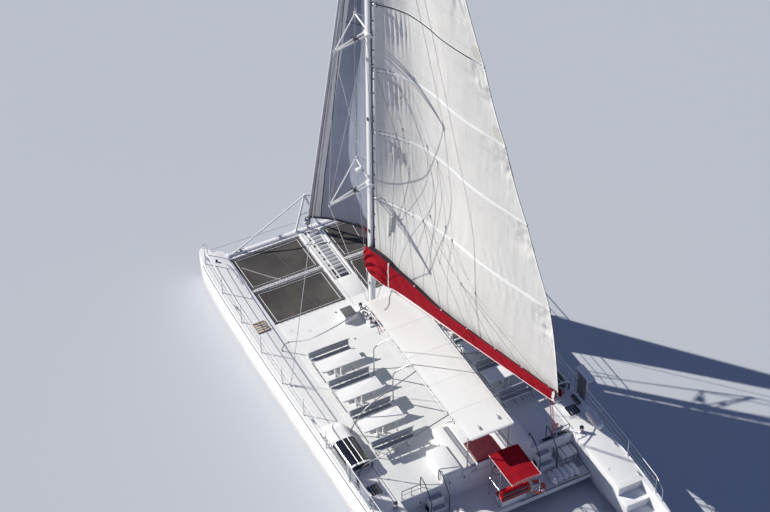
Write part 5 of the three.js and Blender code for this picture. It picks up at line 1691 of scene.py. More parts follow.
def makeTables(side, where):
    a, b = (side * v for v in seating["span"])
    shape = Shape()
    for x in seating["tables"]:
        shape.slab(roundedOutline(x - 0.33, x + 0.33, a, b, 0.07), 2.2, 2.236, "gelcoat", 0.01, 3)
        ring = [(px, py, 2.238) for px, py in roundedOutline(x - 0.315, x + 0.315, a + side * 0.015,
                                                             b - side * 0.015, 0.06, 5)]
        shape.tube(ring, 0.006, "shell", 6, closed=True)
        for y in (side * 2.43, side * 2.77):
            shape.lathe([(0, 0), (0.075, 0), (0.075, 0.008), (0.045, 0.02), (0.038, 0.03), (0.038, 0.66),
                         (0.06, 0.685), (0.09, 0.695), (0, 0.7)], "gelcoat",
                        (x, y - side * 0.05 * (1 if abs(y) > 2.6 else -1), 1.5123), sides=18)
        shape.block((x - 0.045, side * 2.43, 2.13), (x + 0.045, side * 2.77, 2.2), "gelcoat", 0.012)
    for y in (side * 2.45, side * 2.75):
        shape.block((-3.05, y - 0.02, onDeck), (2.35, y + 0.02, 1.5123), "steel", 0.004)
    shape.make(f"tableTops_{where}", nodes=(f"tables_{where}",), slot="gelcoat")


def makeIsland():
    shape = Shape()
    shape.block((-5.18, -0.64, onDeck), (-2.9, 0.44, 1.805), "gelcoat", 0.03, 3)
    shape.block((-4.1, -0.62, 1.8), (-2.92, 0.42, 1.83), "shell", 0.014, 3)
    shape.block((-5.16, -0.625, 1.8), (-4.13, 0.425, 1.83), "shell", 0.008)
    for x in (-4.8, -4.15, -3.5):  # doors on both sides
        for y, way in ((0.44, 1), (-0.64, -1)):
            shape.block((x - 0.27, y - 0.002 * way, 1.545), (x + 0.27, y + 0.007 * way, 1.765), "shell", 0.004)
            shape.block((x + 0.16, y + 0.005 * way, 1.64), (x + 0.21, y + 0.014 * way, 1.68), "steel", 0.004)
    shape.make("deckIsland", nodes=("island",), slot="gelcoat")


def padTop(x, y, box, crown, edge):
    (x0, x1), (y0, y1) = box
    u, v = (x - x0) / (x1 - x0) * 2 - 1, (y - y0) / (y1 - y0) * 2 - 1
    return crown * (1 - abs(u) ** edge) * (1 - abs(v) ** edge)


def makePad(name, box, low, high, paint, piping, channels=(), sides="vinyl", crown=0.03, seed=0.0, nodes=(),
            tucked=0.012):
    (x0, x1), (y0, y1) = box
    shape = Shape()
    rings = []
    levels = [(0.0, 0.75), (0.12, 0.3), (0.35, 0.02), (0.6, 0.0), (0.85, 0.12), (1.0, 0.7)]
    mid = Vector(((x0 + x1) / 2, (y0 + y1) / 2, 0))
    outline = [Vector((px, py, 0)) for px, py in roundedOutline(x0, x1, y0, y1, 0.05, 5)]
    fine = []
    for k, p in enumerate(outline):
        q = outline[(k + 1) % len(outline)]
        count = max(1, int((q - p).length / 0.06))
        fine += [p.lerp(q, n / count) for n in range(count)]
    for up, inset in levels:
        ring = []
        for p in fine:
            out = p - mid
            u, v = abs(out.x) / ((x1 - x0) / 2), abs(out.y) / ((y1 - y0) / 2)
            corner = min(u, v) ** 6
            pull = tucked * (1 - corner) * sin(pi * up)
            wave = 0.003 * sin(17 * p.x + 13 * p.y + seed) * sin(pi * up)
            shrink = 0.028 * inset + wave
            ring.append(Vector((p.x - copysign(min(shrink, abs(out.x)), out.x) * min(1, u * 1.1)
                                + copysign(pull, out.x) * u * (u > v),
                                p.y - copysign(min(shrink, abs(out.y)), out.y) * min(1, v * 1.1)
                                + copysign(pull, out.y) * v * (v >= u), low + up * (high - low - crown))))
        rings.append(ring)
    shape.loft(rings, paint, caps=False)
    # crowned top, fitted in rings that close on the middle
    top = rings[-1]
    inner = []
    for share in (0.985, 0.95, 0.88, 0.76, 0.6, 0.42, 0.22):
        ring = []
        for p in top:
            q = mid + (p - mid) * share
            q.z = p.z + padTop(q.x, q.y, box, crown, 3.2)
            for c in channels:
                q.z -= 0.014 * exp(-((q.x - c) / 0.018) ** 2)
            q.z += 0.0035 * sin(11 * q.x + 7 * q.y + seed) * (1 - share) * 2
            ring.append(q)
        inner.append(ring)
    shape.loft([top, *inner], paint, caps=False)
    centre = Vector((mid.x, mid.y, top[0].z + padTop(mid.x, mid.y, box, crown, 3.2)))
    last = inner[-1]
    shape.add([*last, centre], [[k, (k + 1) % len(last), len(last)] for k in range(len(last))], paint)
    shape.add([*rings[0], Vector((mid.x, mid.y, low))],
              [[(k + 1) % len(fine), k, len(fine)] for k in range(len(fine))], paint)
    for ring in (rings[-1], rings[0]):
        shape.tube(ring, 0.006, piping, 6, closed=True)
    piece = shape.make(name, nodes=nodes, slot=sides, sharp=70)
    return piece


bothSides(makeBenches)
bothSides(makeTables)
makeIsland()
# the island pad's dark maroon is painted shade
makePad("islandPad", ((-5.15, -4.15), (-0.62, 0.42)), 1.8303, 1.95, "shadedRed", "red", channels=(-4.82, -4.48),
        sides="canvas", nodes=("island_pad",))
# a grey pad filling the gap beside the island: its grey is painted shade of that gap
makePad("sidePad", ((-5.09, -3.05), (0.4445, 0.6505)), 1.7003, 1.83, "gapShadeGrey", "whiteTape",
        channels=(-4.42, -3.75), crown=0.02, seed=2.0, tucked=0.004)
print("stage: seats")


# more of the deck: locker doors, hoops, handrails, blocks, the sheet's track and coil
def makeDeckGear():
    shape = Shape()
    for side in (-1, 1):
        for y in (0.85, 1.43):  # doors in the after wall
            shape.block((-5.186, side * y - 0.17, 1.03), (-5.206, side * y + 0.17, 1.88 if y > 1 else 1.8),
                        "shell", 0.008)
            shape.block((-5.2, side * y + 0.1, 1.42), (-5.225, side * y + 0.14, 1.52), "black", 0.006)
        shape.block((-5.198, side * 2.62, 0.72), (-5.209, side * 3.4, 1.38), "shell", 0.006)
        shape.block((-5.205, side * 2.7, 1.0), (-5.222, side * 2.74, 1.1), "black", 0.005)
        for y in (1.84, 2.56):  # hoops beside the steps
            shape.tube([(-4.92, side * y, 1.5), (-4.92, side * y, 1.96), (-4.98, side * y, 2.03),
                        (-5.3, side * y, 1.92), (-5.66, side * y, 1.52), (-5.72, side * y, 1.42),
                        (-5.72, side * y, 0.6)], 0.018, "black", 10, 5)
            flange(shape, -4.92, side * y, 1.5, 0.035)
            flange(shape, -5.72, side * y, 0.6, 0.035)
        # handrail on the deck's after edge, outboard of the steps
        rail = [(-5.1, side * 2.66, 1.5), (-5.11, side * 2.66, 1.86), (-5.13, side * 2.74, 1.92),
                (-5.13, side * 3.32, 1.92), (-5.11, side * 3.4, 1.86), (-5.1, side * 3.4, 1.5)]
        shape.tube(rail, 0.015, "tubing", 10, 4)
        shape.tube([(-5.12, side * 2.66, 1.7), (-5.12, side * 3.4, 1.7)], 0.009, "tubing", 8)
        for y in (2.66, 3.03, 3.4):
            flange(shape, -5.1, side * y, 1.5, 0.035)
        shape.tube([(-5.1, side * 3.03, 1.5), (-5.13, side * 3.03, 1.92)], 0.012, "tubing", 8)
        for x in (4.3, 2.7):  # low blocks and pad eyes by the net's edge
            shape.lathe([(0, 0), (0.04, 0), (0.04, 0.008), (0, 0.012)], "steel", (x, side * 1.2, 1.5), sides=14)
            shape.tube(mirrored(x, [(0.025, side * 1.2, 1.505), (0.02, side * 1.2, 1.545)], axis=0), 0.006,
                       "steel", 7, 4)
        for k in range(12):  # toe rail along the forward edge of the deck
            y = side * (0.62 + k * 0.24)
            shape.tube(mirrored(y, [(4.72, 0.02, 1.498), (4.73, 0.015, 1.53)]), 0.006, "steel", 5, 3)
        # deck plates and vents
        for x, y in ((3.9, 2.5), (-3.6, 2.3), (-4.4, 3.0), (4.2, 3.1)):
            shape.lathe([(0, 0), (0.085, 0), (0.085, 0.004), (0.06, 0.007), (0.055, 0.004), (0, 0.005)], "shell",
                        (x, side * y, 1.499), sides=24)
    # mainsheet track on the deck, with its stops
    shape.block((-5.13, -3.38, 1.497), (-5.01, -2.22, 1.545), "black", 0.012)
    for y in (-3.33, -2.27):
        shape.block((-5.14, y - 0.03, 1.5), (-5.0, y + 0.03, 1.565), "steel", 0.01)
    shape.block((-5.14, -2.92, 1.54), (-4.99, -2.7, 1.6), "steel", 0.01)
    shape.block((-5.12, 0.4425, 1.4995), (-3.02, 0.6525, 1.7), "shell", 0.006)  # base of the side pad, whose grey is painted shade of the gap
    shape.make("deckGear", slot="steel")
    coil = Shape()
    for k in range(5):
        ring = [(-4.72 + (0.16 - 0.01 * k) * cos(t) * (1 + 0.1 * sin(2 * t + k)),
                 -3.1 + (0.13 + 0.008 * k) * sin(t), 1.511 + 0.014 * k) for t in turns(28)]
        coil.tube(ring, 0.0085, "redRope" if k % 2 else "rope", 6, closed=True)
    coil.make("sheetCoil", slot="canvas")


def makeSheetTackle():
    boomEnd = swung((9.05, 0, boomLow(9.05) - 0.1))
    foot = Vector((-5.065, -2.81, 1.6))
    shape = Shape()
    for k in range(4):
        off = Vector(((k % 2 - 0.5) * 0.05, (k // 2 - 0.5) * 0.07, 0))
        shape.tube([boomEnd + off, boomEnd.lerp(foot, 0.5) + off * 1.2, foot + off * 1.4], 0.009, "redRope", 6, 4)
    for at, low in ((boomEnd, -0.06), (foot, -0.01)):
        for k in (-1, 1):
            shape.lathe(mirrored(0, [(0, 0.016), (0.05, 0.016)], apex=(0.058, 0)), "black",
                        at + Vector((0, 0.03 * k, low)), (0, 1, 0), 18)
    piece = shape.make("mainsheet", None, slot="canvas")
    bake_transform(piece)


makeDeckGear()
makeSheetTackle()
print("stage: deck gear")


# companionway housings, hoods, hatches, guard rails
coach = {
    "middle": hulls["wellMiddle"],
    "half": 0.43,
    "well": (-3.15, -2.05, 0.33),
    "hood": (-3.33, -1.95),
    "play": 0.008,
    "skin": 0.026,
}


def archRing(side, x, half, high, base=onDeck, count=9):
    mid = side * coach["middle"]
    corner = 0.68 * half
    angles = [pi / 2 * k / (count - 1) for k in range(count)]
    shoulder = [(half - corner * (1 - cos(t)), base + high * (0.46 + 0.54 * sin(t))) for t in angles]
    return [(x, mid - half, base), *((x, mid - y, z) for y, z in shoulder),
            *((x, mid + y, z) for y, z in shoulder[::-1]), (x, mid + half, base)]


def makeHousing(side, where):
    xs = [-0.8, -0.82, -0.86, -0.92, -1.0, -1.1, -1.22, -1.36, -1.5, -1.95, -2.4, -2.9, -3.28]
    shape = Shape()
    rings = []
    for x in xs:
        t = min(1, (-0.8 - x) / 0.62)
        high = 0.05 + 0.35 * sin(pi / 2 * t) ** 0.8
        half = coach["half"] * (0.8 + 0.2 * sin(pi / 2 * min(1, t * 1.4)))
        rings.append(archRing(side, x, half, high))
    shape.loft(rings, "gelcoat")
    piece = shape.make(f"housing_{where}", nodes=(f"coachroof_{where}",), slot="gelcoat")
    aft, fore, half = coach["well"]
    mid = side * coach["middle"]
    cutAway(piece, [cutter((aft, mid - half, 1.4), (fore, mid + half, 2.5)),
                    cutter((aft - 0.4, mid - half, 1.62), (fore, mid + half, 2.5))])
    trim = Shape()
    # well: floor grating, steps, coaming and washboard
    trim.block((aft + 0.02, mid - half + 0.02, 0.452), (fore - 0.02, mid + half - 0.02, 0.468), "teak", 0.004)
    for k in range(3):
        z = 0.72 + 0.26 * k
        trim.block((fore - 0.05, mid - half + 0.03, z), (fore - 0.3 + 0.05 * k, mid + half - 0.03, z + 0.03),
                   "teak", 0.006)
        for way in (-1, 1):
            trim.block((fore - 0.02, mid + way * (half - 0.06), z - 0.24),
                       (fore - 0.27 + 0.05 * k, mid + way * (half - 0.03), z), "gelcoat", 0.006)
    trim.block((aft - 0.13, mid - half, 1.6), (aft, mid + half, 1.622), "board", 0.006)
    for way in (-1, 1):
        # the hood's track
        trim.block((-0.97, mid + way * 0.434, 1.499), (-3.3, mid + way * 0.485, 1.5026), "black", 0.001)
    for x in (-1.42, -1.78):  # portlights in the outer side
        trim.block((x - 0.13, mid + side * (coach["half"] - 0.03), 1.545),
                   (x + 0.13, mid + side * (coach["half"] + 0.004), 1.655), "smoked", 0.018, 3)
    trim.make(f"housingTrim_{where}", slot="gelcoat")


def makeHood(side, where):
    aft, fore = coach["hood"]
    inside, high, skin = coach["half"] + coach["play"], 0.4 + coach["play"], coach["skin"]
    mid = side * coach["middle"]
    shape = Shape()
    rings = []
    for x in np.linspace(aft, fore, 14):
        outer = archRing(side, x, inside + skin, high + skin, 1.503)
        inner = archRing(side, x, inside, high, 1.503)
        rings.append(outer + inner[::-1])
    shape.loft(rings, "smoked")
    shape.make(f"slidingHood_{where}", f"hood_{where}", (f"hood_{where}",), "smoked", sharp=50)
    trim = Shape()
    top = onDeck + high + skin
    # moulded bands, clear of the bows when it slides
    for x in (aft + 0.022, aft + 0.05, aft + 0.078, fore - 0.012):
        trim.tube(archRing(side, x, inside + 0.0205, high + 0.0205, 1.503), 0.02, "gelcoat", 10)
    for off in (-0.13, 0.07):
        trim.tube([(aft + 0.03, mid + off, top), (aft + 0.08, mid + off, top + 0.012),
                   (fore - 0.1, mid + off, top + 0.012), (fore - 0.04, mid + off, top)], 0.014, "gelcoat", 10, 4)
    for way in (-1, 1):
        trim.block((aft + 0.01, mid + way * (inside + skin - 0.003), 1.503),
                   (fore - 0.01, mid + way * (inside + skin + 0.008), 1.535), "gelcoat", 0.005)
    trim.make(f"hoodTrim_{where}", f"hood_{where}", slot="gelcoat")


def makeHatches(side, where):
    y = side * 4.05
    fore = Shape()
    x = 4.9
    for a, b, c, d in ((x - 0.28, x + 0.28, y - 0.26, y - 0.215), (x - 0.28, x + 0.28, y + 0.215, y + 0.26),
                       (x - 0.28, x - 0.235, y - 0.25, y + 0.25), (x + 0.235, x + 0.28, y - 0.25, y + 0.25)):
        fore.block((a, c, onDeck), (b, d, 1.545), "teak", 0.008)
    for k in range(8):
        at = x - 0.21 + k * 0.06
        fore.block((at - 0.02, y - 0.216, 1.508), (at + 0.02, y + 0.216, 1.538),
                   "teak" if k % 2 else "gelcoat", 0.005)
    fore.block((x - 0.236, y - 0.216, 1.503), (x + 0.236, y + 0.216, 1.51), "black", 0.001)
    fore.make(f"hatchFore_{where}", f"hatch_fore_{where}", (f"hatch_fore_{where}",), "teak")
    aft = Shape()
    x = -4.3
    outline = roundedOutline(x - 0.28, x + 0.28, y - 0.26, y + 0.26, 0.05)
    aft.slab(outline, onDeck, 1.528, "shell", 0.006)
    aft.slab(roundedOutline(x - 0.235, x + 0.235, y - 0.215, y + 0.215, 0.035), 1.52, 1.545, "smoked", 0.005)
    for k in (-1, 1):
        aft.block((x + k * 0.16 - 0.02, y - 0.255, 1.528), (x + k * 0.16 + 0.02, y - 0.2, 1.55), "steel", 0.005)
    for k in range(3):
        aft.block((x - 0.2, y - 0.11 + 0.11 * k - 0.006, 1.544), (x + 0.2, y - 0.11 + 0.11 * k + 0.006, 1.5485),
                  "gelcoat", 0.001)
    aft.make(f"hatchAft_{where}", f"hatch_aft_{where}", (f"hatch_aft_{where}",), "smoked")
    frames = Shape()  # frames let into the deck round both lids
    for x in (4.9, -4.3):
        for a, b, c, d in ((x - 0.32, x + 0.32, y - 0.3, y - 0.268), (x - 0.32, x + 0.32, y + 0.268, y + 0.3),
                           (x - 0.32, x - 0.288, y - 0.29, y + 0.29)):
            frames.block((a, c, 1.498), (b, d, 1.512), "shell", 0.004)
    frames.make(f"hatchFrames_{where}", slot="gelcoat")


rails = {
    "posts": [9.1, 7.3, 5.5, 3.7, 1.9, 0.1, -1.7, -3.5, -5.3, -7.1, -9.0],
    "lines": (0.28, 0.54, 0.8),
    "inset": 0.07,
    "table": (-3.5, -4.4),
    "gates": [(-3.24, -3.96), (-4.26, -4.94)],
}


def edgeAt(x):
    return hullEdge(x, 1) - rails["inset"]


def makeRails(side, where):
    shape = Shape()
    for k, x in enumerate(rails["posts"]):
        y = side * edgeAt(x)
        shape.lathe([(0, 0), (0.038, 0), (0.038, 0.006), (0.022, 0.02), (0.021, 0.06), (0.0175, 0.065),
                     (0.016, 0.77), (0.02, 0.79), (0.02, 0.82), (0.01, 0.83), (0, 0.83)], "steel", (x, y, onDeck),
                    sides=14)
        if k:
            last = rails["posts"][k - 1]
            for h in rails["lines"]:
                sag = 0.006 if h < 0.6 else 0.0
                a, b = Vector((last, side * edgeAt(last), 1.5 + h)), Vector((x, y, 1.5 + h))
                shape.tube([a, a.lerp(b, 0.5) - Vector((0, 0, sag)), b], 0.015 if h > 0.6 else 0.0095,
                           "steel" if h < 0.6 else "spar", 7, 4)
    # bow and stern ends
    for x, way in ((9.1, 1), (-9.0, -1)):
        y = side * edgeAt(x)
        tipX = x + way * 0.42
        tipY = side * (edgeAt(x) - (0.28 if way > 0 else 0.02))
        shape.tube([(x, y, 2.3), (x + way * 0.25, y - side * 0.05, 2.27), (tipX, tipY, 2.0),
                    (tipX + way * 0.02, tipY, 1.5)], 0.0175, "steel", 10, 5)
        flange(shape, tipX + way * 0.02, tipY, 1.5, 0.035)
    shape.make(f"guardRail_{where}", nodes=(f"guard_rail_{where}",), slot="steel")
    gear = Shape()  # cleats, toe rail, rubbing strake
    for x in (9.35, 6.3, -0.3, -6.4, -8.0):
        y = side * (edgeAt(x) - 0.12)
        gear.block((x - 0.06, y - 0.022, 1.499), (x + 0.06, y + 0.022, 1.53), "steel", 0.008)
        gear.tube(mirrored(x, [(0.15, y, 1.548), (0.06, y, 1.555)], axis=0), 0.013,
                  "steel", 9, 4)
        for k in (-1, 1):
            gear.tube([(x + 0.045 * k, y, 1.52), (x + 0.045 * k, y, 1.55)], 0.012, "steel", 8)
    run = [(x, side * (edgeAt(x) + rails["inset"] - 0.025), 1.502) for x in np.linspace(9.3, -8.2, 60)]
    gear.tube(run, 0.014, "gelcoat", 8)
    strake = [(x, side * (edgeAt(x) + rails["inset"] + 0.004), 1.36) for x in np.linspace(9.2, -9.2, 60)]
    gear.tube(strake, 0.02, "rubber", 8)
    # hatch-side fittings and a low rail at the bow
    gear.lathe([(0, 0), (0.05, 0), (0.05, 0.01), (0.03, 0.05), (0.045, 0.06), (0.045, 0.1), (0, 0.11)], "black",
               (9.0, side * 4.0, 1.499), sides=16)
    gear.tube([(8.6, side * 3.72, 1.5), (8.55, side * 3.72, 1.57), (7.5, side * 3.7, 1.575),
               (7.45, side * 3.7, 1.5)], 0.01, "steel", 8, 4)
    for x in (7.9, 6.6, 2.9, 0.6, -5.5, -7.3):
        gear.slab(roundedOutline(x - 0.07, x + 0.07, side * 3.68 - 0.05, side * 3.68 + 0.05, 0.03), 1.499, 1.509,
                  "shell", 0.003)
    gear.block((-5.1, side * 3.585, 1.4985), (-1.9, side * 3.612, 1.504), "rubber", 0.0015)  # dark strip for the gutter in the deck: painted shade of its groove
    # folded boarding gate and its lashings, aft of the hood
    gear.block((-4.16, side * 4.36, 1.4995), (-3.66, side * 4.5, 1.56), "rubber" if side < 0 else "whiteTape",
               0.015, 3)
    for k in range(4):
        x = -3.72 - 0.13 * k
        gear.tube([(x, side * 4.34, 1.5), (x, side * 4.35, 1.6), (x, side * 4.43, 1.62), (x, side * 4.51, 1.6),
                   (x, side * 4.51, 1.5)], 0.011, "tubing", 8, 4)
    gear.tube([(-3.62, side * 4.43, 1.6), (-4.2, side * 4.43, 1.6)], 0.016, "black", 10)
    addWinch(gear, (-5.35, side * 3.78, 1.4995), size=1.15)
    gear.make(f"hullGear_{where}", slot="steel")


def makeRailTable():  # board on the starboard rail, with a cloth hung under it, and a canister
    (x0, x1), y, top = rails["table"], -edgeAt(-4), 2.74
    shape = Shape()
    shape.slab(roundedOutline(x1, x0, y - 0.27, y + 0.03, 0.04), top + 0.012, top + 0.045, "gelcoat", 0.008)
    for x in (x0 - 0.12, x1 + 0.12):
        shape.tube([(x, y, 1.49), (x, y, top + 0.002), (x, y - 0.24, top + 0.004)], 0.014, "steel", 8)
        shape.tube([(x, y - 0.22, top + 0.004), (x, y, top - 0.3)], 0.009, "steel", 8)
    long, mid, r = 0.46, Vector((-5.2, -4.42, 1.7)), 0.175
    profile = [(0, -long), (r * 0.55, -long + 0.01), (r * 0.86, -long + 0.05), (r, -long + 0.13), (r, 0.0),
               (r, long - 0.13), (r * 0.86, long - 0.05), (r * 0.55, long - 0.01), (0, long)]
    shape.lathe(profile, "fender", mid, (1, 0, 0), 28)
    for off in (-0.2, 0.2):
        shape.lathe(mirrored(off, [(r, 0.025), (r + 0.004, 0.02)]),
                    "whiteTape", mid, (1, 0, 0), 28)
        shape.block((mid.x + off - 0.04, mid.y - 0.15, 1.4995), (mid.x + off + 0.04, mid.y + 0.15, 1.58),
                    "gelcoat", 0.015)
    shape.make("railTable", slot="gelcoat")
    cloth = Shape()
    rows = []
    for z in np.linspace(top - 0.03, 1.62, 26):
        drop = (top - z) / 1.1
        rows.append([(x, y + 0.028 + 0.02 * drop * sin(21 * x + 2 * drop) + 0.008 * sin(47 * x), z)
                     for x in np.linspace(x0 - 0.2, x1 + 0.16, 24)])
    cloth.cloth(rows, 0.004, "greyCloth")
    cloth.make("railCloth", slot="canvas", sharp=60)


def makeGates():  # two boards laced to the port rail
    shape = Shape()
    for x0, x1 in rails["gates"]:
        y = edgeAt((x0 + x1) / 2) - 0.035
        shape.block((x1, y - 0.009, 1.54), (x0, y + 0.009, 2.25), "board", 0.007, 3)
        for x, way in ((x0, 1), (x1, -1)):
            post = x + way * 0.035
            shape.tube([(post, y, 1.4995), (post, y, 2.29)], 0.014, "steel", 10)
            lace = [(post + way * 0.016 if k % 2 else x - way * 0.03, y + (0.013 if k % 4 < 2 else -0.013),
                     1.6 + 0.06 * k) for k in range(11)]
            shape.tube(lace, 0.007, "darkRope", 6, 2)
            flange(shape, post, y, 1.5, 0.03)
    shape.make("railGates", slot="gelcoat")


bothSides(makeHousing)
bothSides(makeHood)
bothSides(makeHatches)
bothSides(makeRails)
makeRailTable()
makeGates()
print("stage: hull tops")


# helm platform, rudders and drives
helm = {
    "middle": -0.38,
    "bench": ((-6.45, -5.99), (-0.91, 0.15)),
    "canopy": ((-7.2, -5.55), (-0.98, 0.22)),
    "canopyUp": (2.535, 2.588),  # edges, ridge
    "wheel": (-5.5, -0.38, 1.56),
    "rim": 0.364,
    "fenders": {"port": (1.3, 2.85), "starboard": (-3.2, -1.95)},
}


def makeHelmBench():
    (x0, x1), (y0, y1) = helm["bench"]
    shape = Shape()
    shape.block((x0 + 0.02, y0 + 0.02, onPlatform), (x1 - 0.01, y1 - 0.02, 0.93), "gelcoat", 0.03, 3)
    shape.block((x1 - 0.014, y0 + 0.12, 0.66), (x1 + 0.001, y1 - 0.12, 0.88), "shell", 0.006)
    shape.block((x0 - 0.03, y0 + 0.01, 0.92), (x0 + 0.02, y1 - 0.01, 1.46), "redBright", 0.016, 3)
    for low in (1.03, 1.23):  # dark bands across the back, piped in white
        shape.block((x0 - 0.034, y0 + 0.04, low), (x0 - 0.028, y1 - 0.04, low + 0.11), "charcoal", 0.002)
        shape.tube([(x0 - 0.034, y0 + 0.04, low - 0.004), (x0 - 0.034, y1 - 0.04, low - 0.004)], 0.004,
                   "whiteTape", 6)
    for y in (y0 + 0.05, y1 - 0.05):
        shape.tube([(x0, y, 0.92), (x0 - 0.005, y, 1.3), (x0 - 0.01, y, 1.47)], 0.016, "steel", 9)
    shape.make("helmBench", nodes=("helm_bench",), slot="canvas")
    makePad("helmSeat", ((x0 + 0.03, x1), (y0, y1)), 0.932, 1.045, "redBright", "whiteTape",
            channels=(x0 + 0.17, x0 + 0.31), sides="canvas", crown=0.035)


def makeHelmBack():
    (x0, _), (y0, y1) = helm["bench"]
    rows = []
    for k in range(15):
        z = 1.05 + 0.44 * k / 14
        rows.append([(x0 + 0.012 - 0.02 * k / 14 + 0.014 * sin(pi * k / 14) * (1 - abs(v) ** 3),
                      (y0 + y1) / 2 + v * (y1 - y0) / 2 * 0.985, z) for v in np.linspace(-1, 1, 21)])
    shape = Shape()
    shape.cloth(rows, 0.045, "redBright")
    for v in (-0.62, -0.2, 0.2, 0.62):  # stitched bands
        shape.cloth([[(p[0] + 0.0255, (y0 + y1) / 2 + (v + off) * (y1 - y0) / 2, p[2]) for off in (-0.045, 0.045)]
                     for p in (row[10] for row in rows)], 0.004, "charcoal" if abs(v) > 0.4 else "whiteTape")
    edge = [rows[0][0], *(row[0] for row in rows), *rows[-1], *(row[-1] for row in rows[::-1])]
    shape.tube([Vector(p) + Vector((0.018, 0, 0)) for p in edge[1:]], 0.007, "whiteTape", 6)
    shape.make("helmBackrest", slot="canvas", sharp=60)


def makePedestal():
    x, y = -5.2, helm["middle"]
    shape = Shape()
    shape.block((-5.37, y - 0.24, onPlatform), (-5.21, y + 0.24, 1.5), "gelcoat", 0.035, 3)
    shape.block((-5.385, y - 0.26, 1.44), (-5.205, y + 0.26, 1.66), "shell", 0.03, 3)
    shape.block((-5.392, y - 0.22, 1.5), (-5.38, y + 0.22, 1.63), "black", 0.006)
    for off in (-0.15, 0.15):
        shape.lathe([(0, 0), (0.045, 0), (0.045, 0.01), (0.038, 0.014), (0, 0.012)], "smoked",
                    (-5.388, y + off, 1.565), (-1, 0, 0), 20)
        shape.lathe([(0.038, 0.012), (0.047, 0.012), (0.047, 0.016), (0.038, 0.016)], "steel",
                    (-5.388, y + off, 1.565), (-1, 0, 0), 20)
    shape.lathe([(0, 0), (0.06, 0), (0.06, 0.02), (0.05, 0.035), (0.052, 0.05), (0.03, 0.07), (0, 0.074)], "black",
                (-5.29, y, 1.655), sides=20)
    for off in (-0.17, 0.17):  # throttles
        shape.tube([(-5.33, y + off, 1.65), (-5.36, y + off, 1.675)], 0.008, "steel", 8)
        shape.block((-5.385, y + off - 0.02, 1.66), (-5.35, y + off + 0.02, 1.684),
                    "redRope" if off > 0 else "black", 0.01)
    shape.tube([(-5.38, y, 1.56), (-5.54, y, 1.56)], 0.0195, "steel", 14)
    shape.lathe([(0.05, 0), (0.05, 0.02), (0.03, 0.05), (0.0196, 0.06)], "steel", (-5.385, y, 1.56), (-1, 0, 0), 18)
    for k in range(4):
        shape.block((-5.376, y - 0.16, 0.78 + 0.15 * k), (-5.366, y + 0.16, 0.79 + 0.15 * k), "shell", 0.002)
    shape.make("pedestal", nodes=("helm_pedestal",), slot="gelcoat")
    wheel = Shape()
    at, r = Vector(helm["wheel"]), helm["rim"]

    def turn(t, out, x=0):
        return at + Vector((x, out * cos(t), out * sin(t)))

    wheel.tube([turn(2 * pi * k / 64, r) for k in range(64)], 0.0155, "black", 12, closed=True)
    for k in range(64):  # the grip's stitches
        t = 2 * pi * k / 64
        wheel.tube([turn(t, r - 0.016, 0.005), turn(t + 0.03, r - 0.0165, -0.005)], 0.0018, "whiteTape", 5)
    for k in range(5):
        t = 2 * pi * k / 5 + pi / 2
        wheel.tube([turn(t, 0.04), turn(t, 0.2, -0.006), turn(t, r - 0.008)], 0.0095, "steel", 9, 4)
    wheel.lathe([(0.0202, -0.035), (0.05, -0.035), (0.055, -0.02), (0.055, 0.02), (0.045, 0.035), (0.0202, 0.035)],
                "steel", at, (1, 0, 0), 24)
    wheel.lathe([(0, -0.052), (0.016, -0.05), (0.026, -0.042), (0.026, -0.0402), (0, -0.0402)], "steel", at,
                (1, 0, 0), 18)
    wheel.make("wheel", "wheel", ("helm_wheel",), "steel")


def makeCanopy():
    (x0, x1), (y0, y1) = helm["canopy"]
    low, ridge = helm["canopyUp"]
    mid, half = (y0 + y1) / 2, (y1 - y0) / 2 - 0.012

    def skin(x, v):  # v from -1 to 1 across
        t = (x - x0) / (x1 - x0)
        sag = 0.014 * (1 - cos(4 * pi * t)) / 2
        ripple = 0.003 * sin(9 * x + 5 * v) + 0.002 * sin(23 * x - 11 * v)
        return (x, mid + v * half, low + (ridge - low) * (1 - abs(v) ** 1.6) - sag * (1 - v * v) + ripple
                * (1 - abs(v)))

    rows = []
    for x in np.linspace(x0 + 0.02, x1 - 0.02, 46):
        row = [skin(x, v) for v in np.linspace(-1, 1, 37)]
        near, far = row[0], row[-1]
        rows.append([(x, near[1] - 0.006, near[2] - 0.022), *row, (x, far[1] + 0.006, far[2] - 0.022)])
    shape = Shape()
    shape.cloth(rows, 0.007, "red")
    piece = shape.make("canopyCloth", nodes=("canopy",), slot="canvas", sharp=60)
    trim = Shape()
    for v in (-1, 1):
        trim.tube([skin(x, v) for x in np.linspace(x0 + 0.02, x1 - 0.02, 30)], 0.011, "whiteTape", 7)
    for x in (x0 + 0.028, x1 - 0.028):
        trim.tube([Vector(skin(x, v)) + Vector((0, 0, 0.001)) for v in np.linspace(-1, 1, 25)], 0.008, "red", 7)
    for k in range(16):  # lacing on the after edge
        y = mid + (k / 15 * 2 - 1) * (half - 0.03)
        v = (y - mid) / half
        z = skin(x0 + 0.03, v)[2]
        trim.tube([(x0 + 0.075, y, z + 0.005), (x0 + 0.02, y + 0.012, z + 0.009), (x0 + 0.012, y + 0.02, z - 0.02)],
                  0.0055, "rope", 6, 3)
    for t in (0.36, 0.66):  # seams, in a brighter red: painted highlight
        x = x0 + (x1 - x0) * t
        trim.cloth([[Vector(skin(x + off, v)) + Vector((0, 0, 0.0042)) for v in np.linspace(-0.97, 0.97, 19)]
                    for off in (-0.012, 0.012)], 0.002, "redBright")
    trimPiece = trim.make("canopyTrim", slot="canvas")


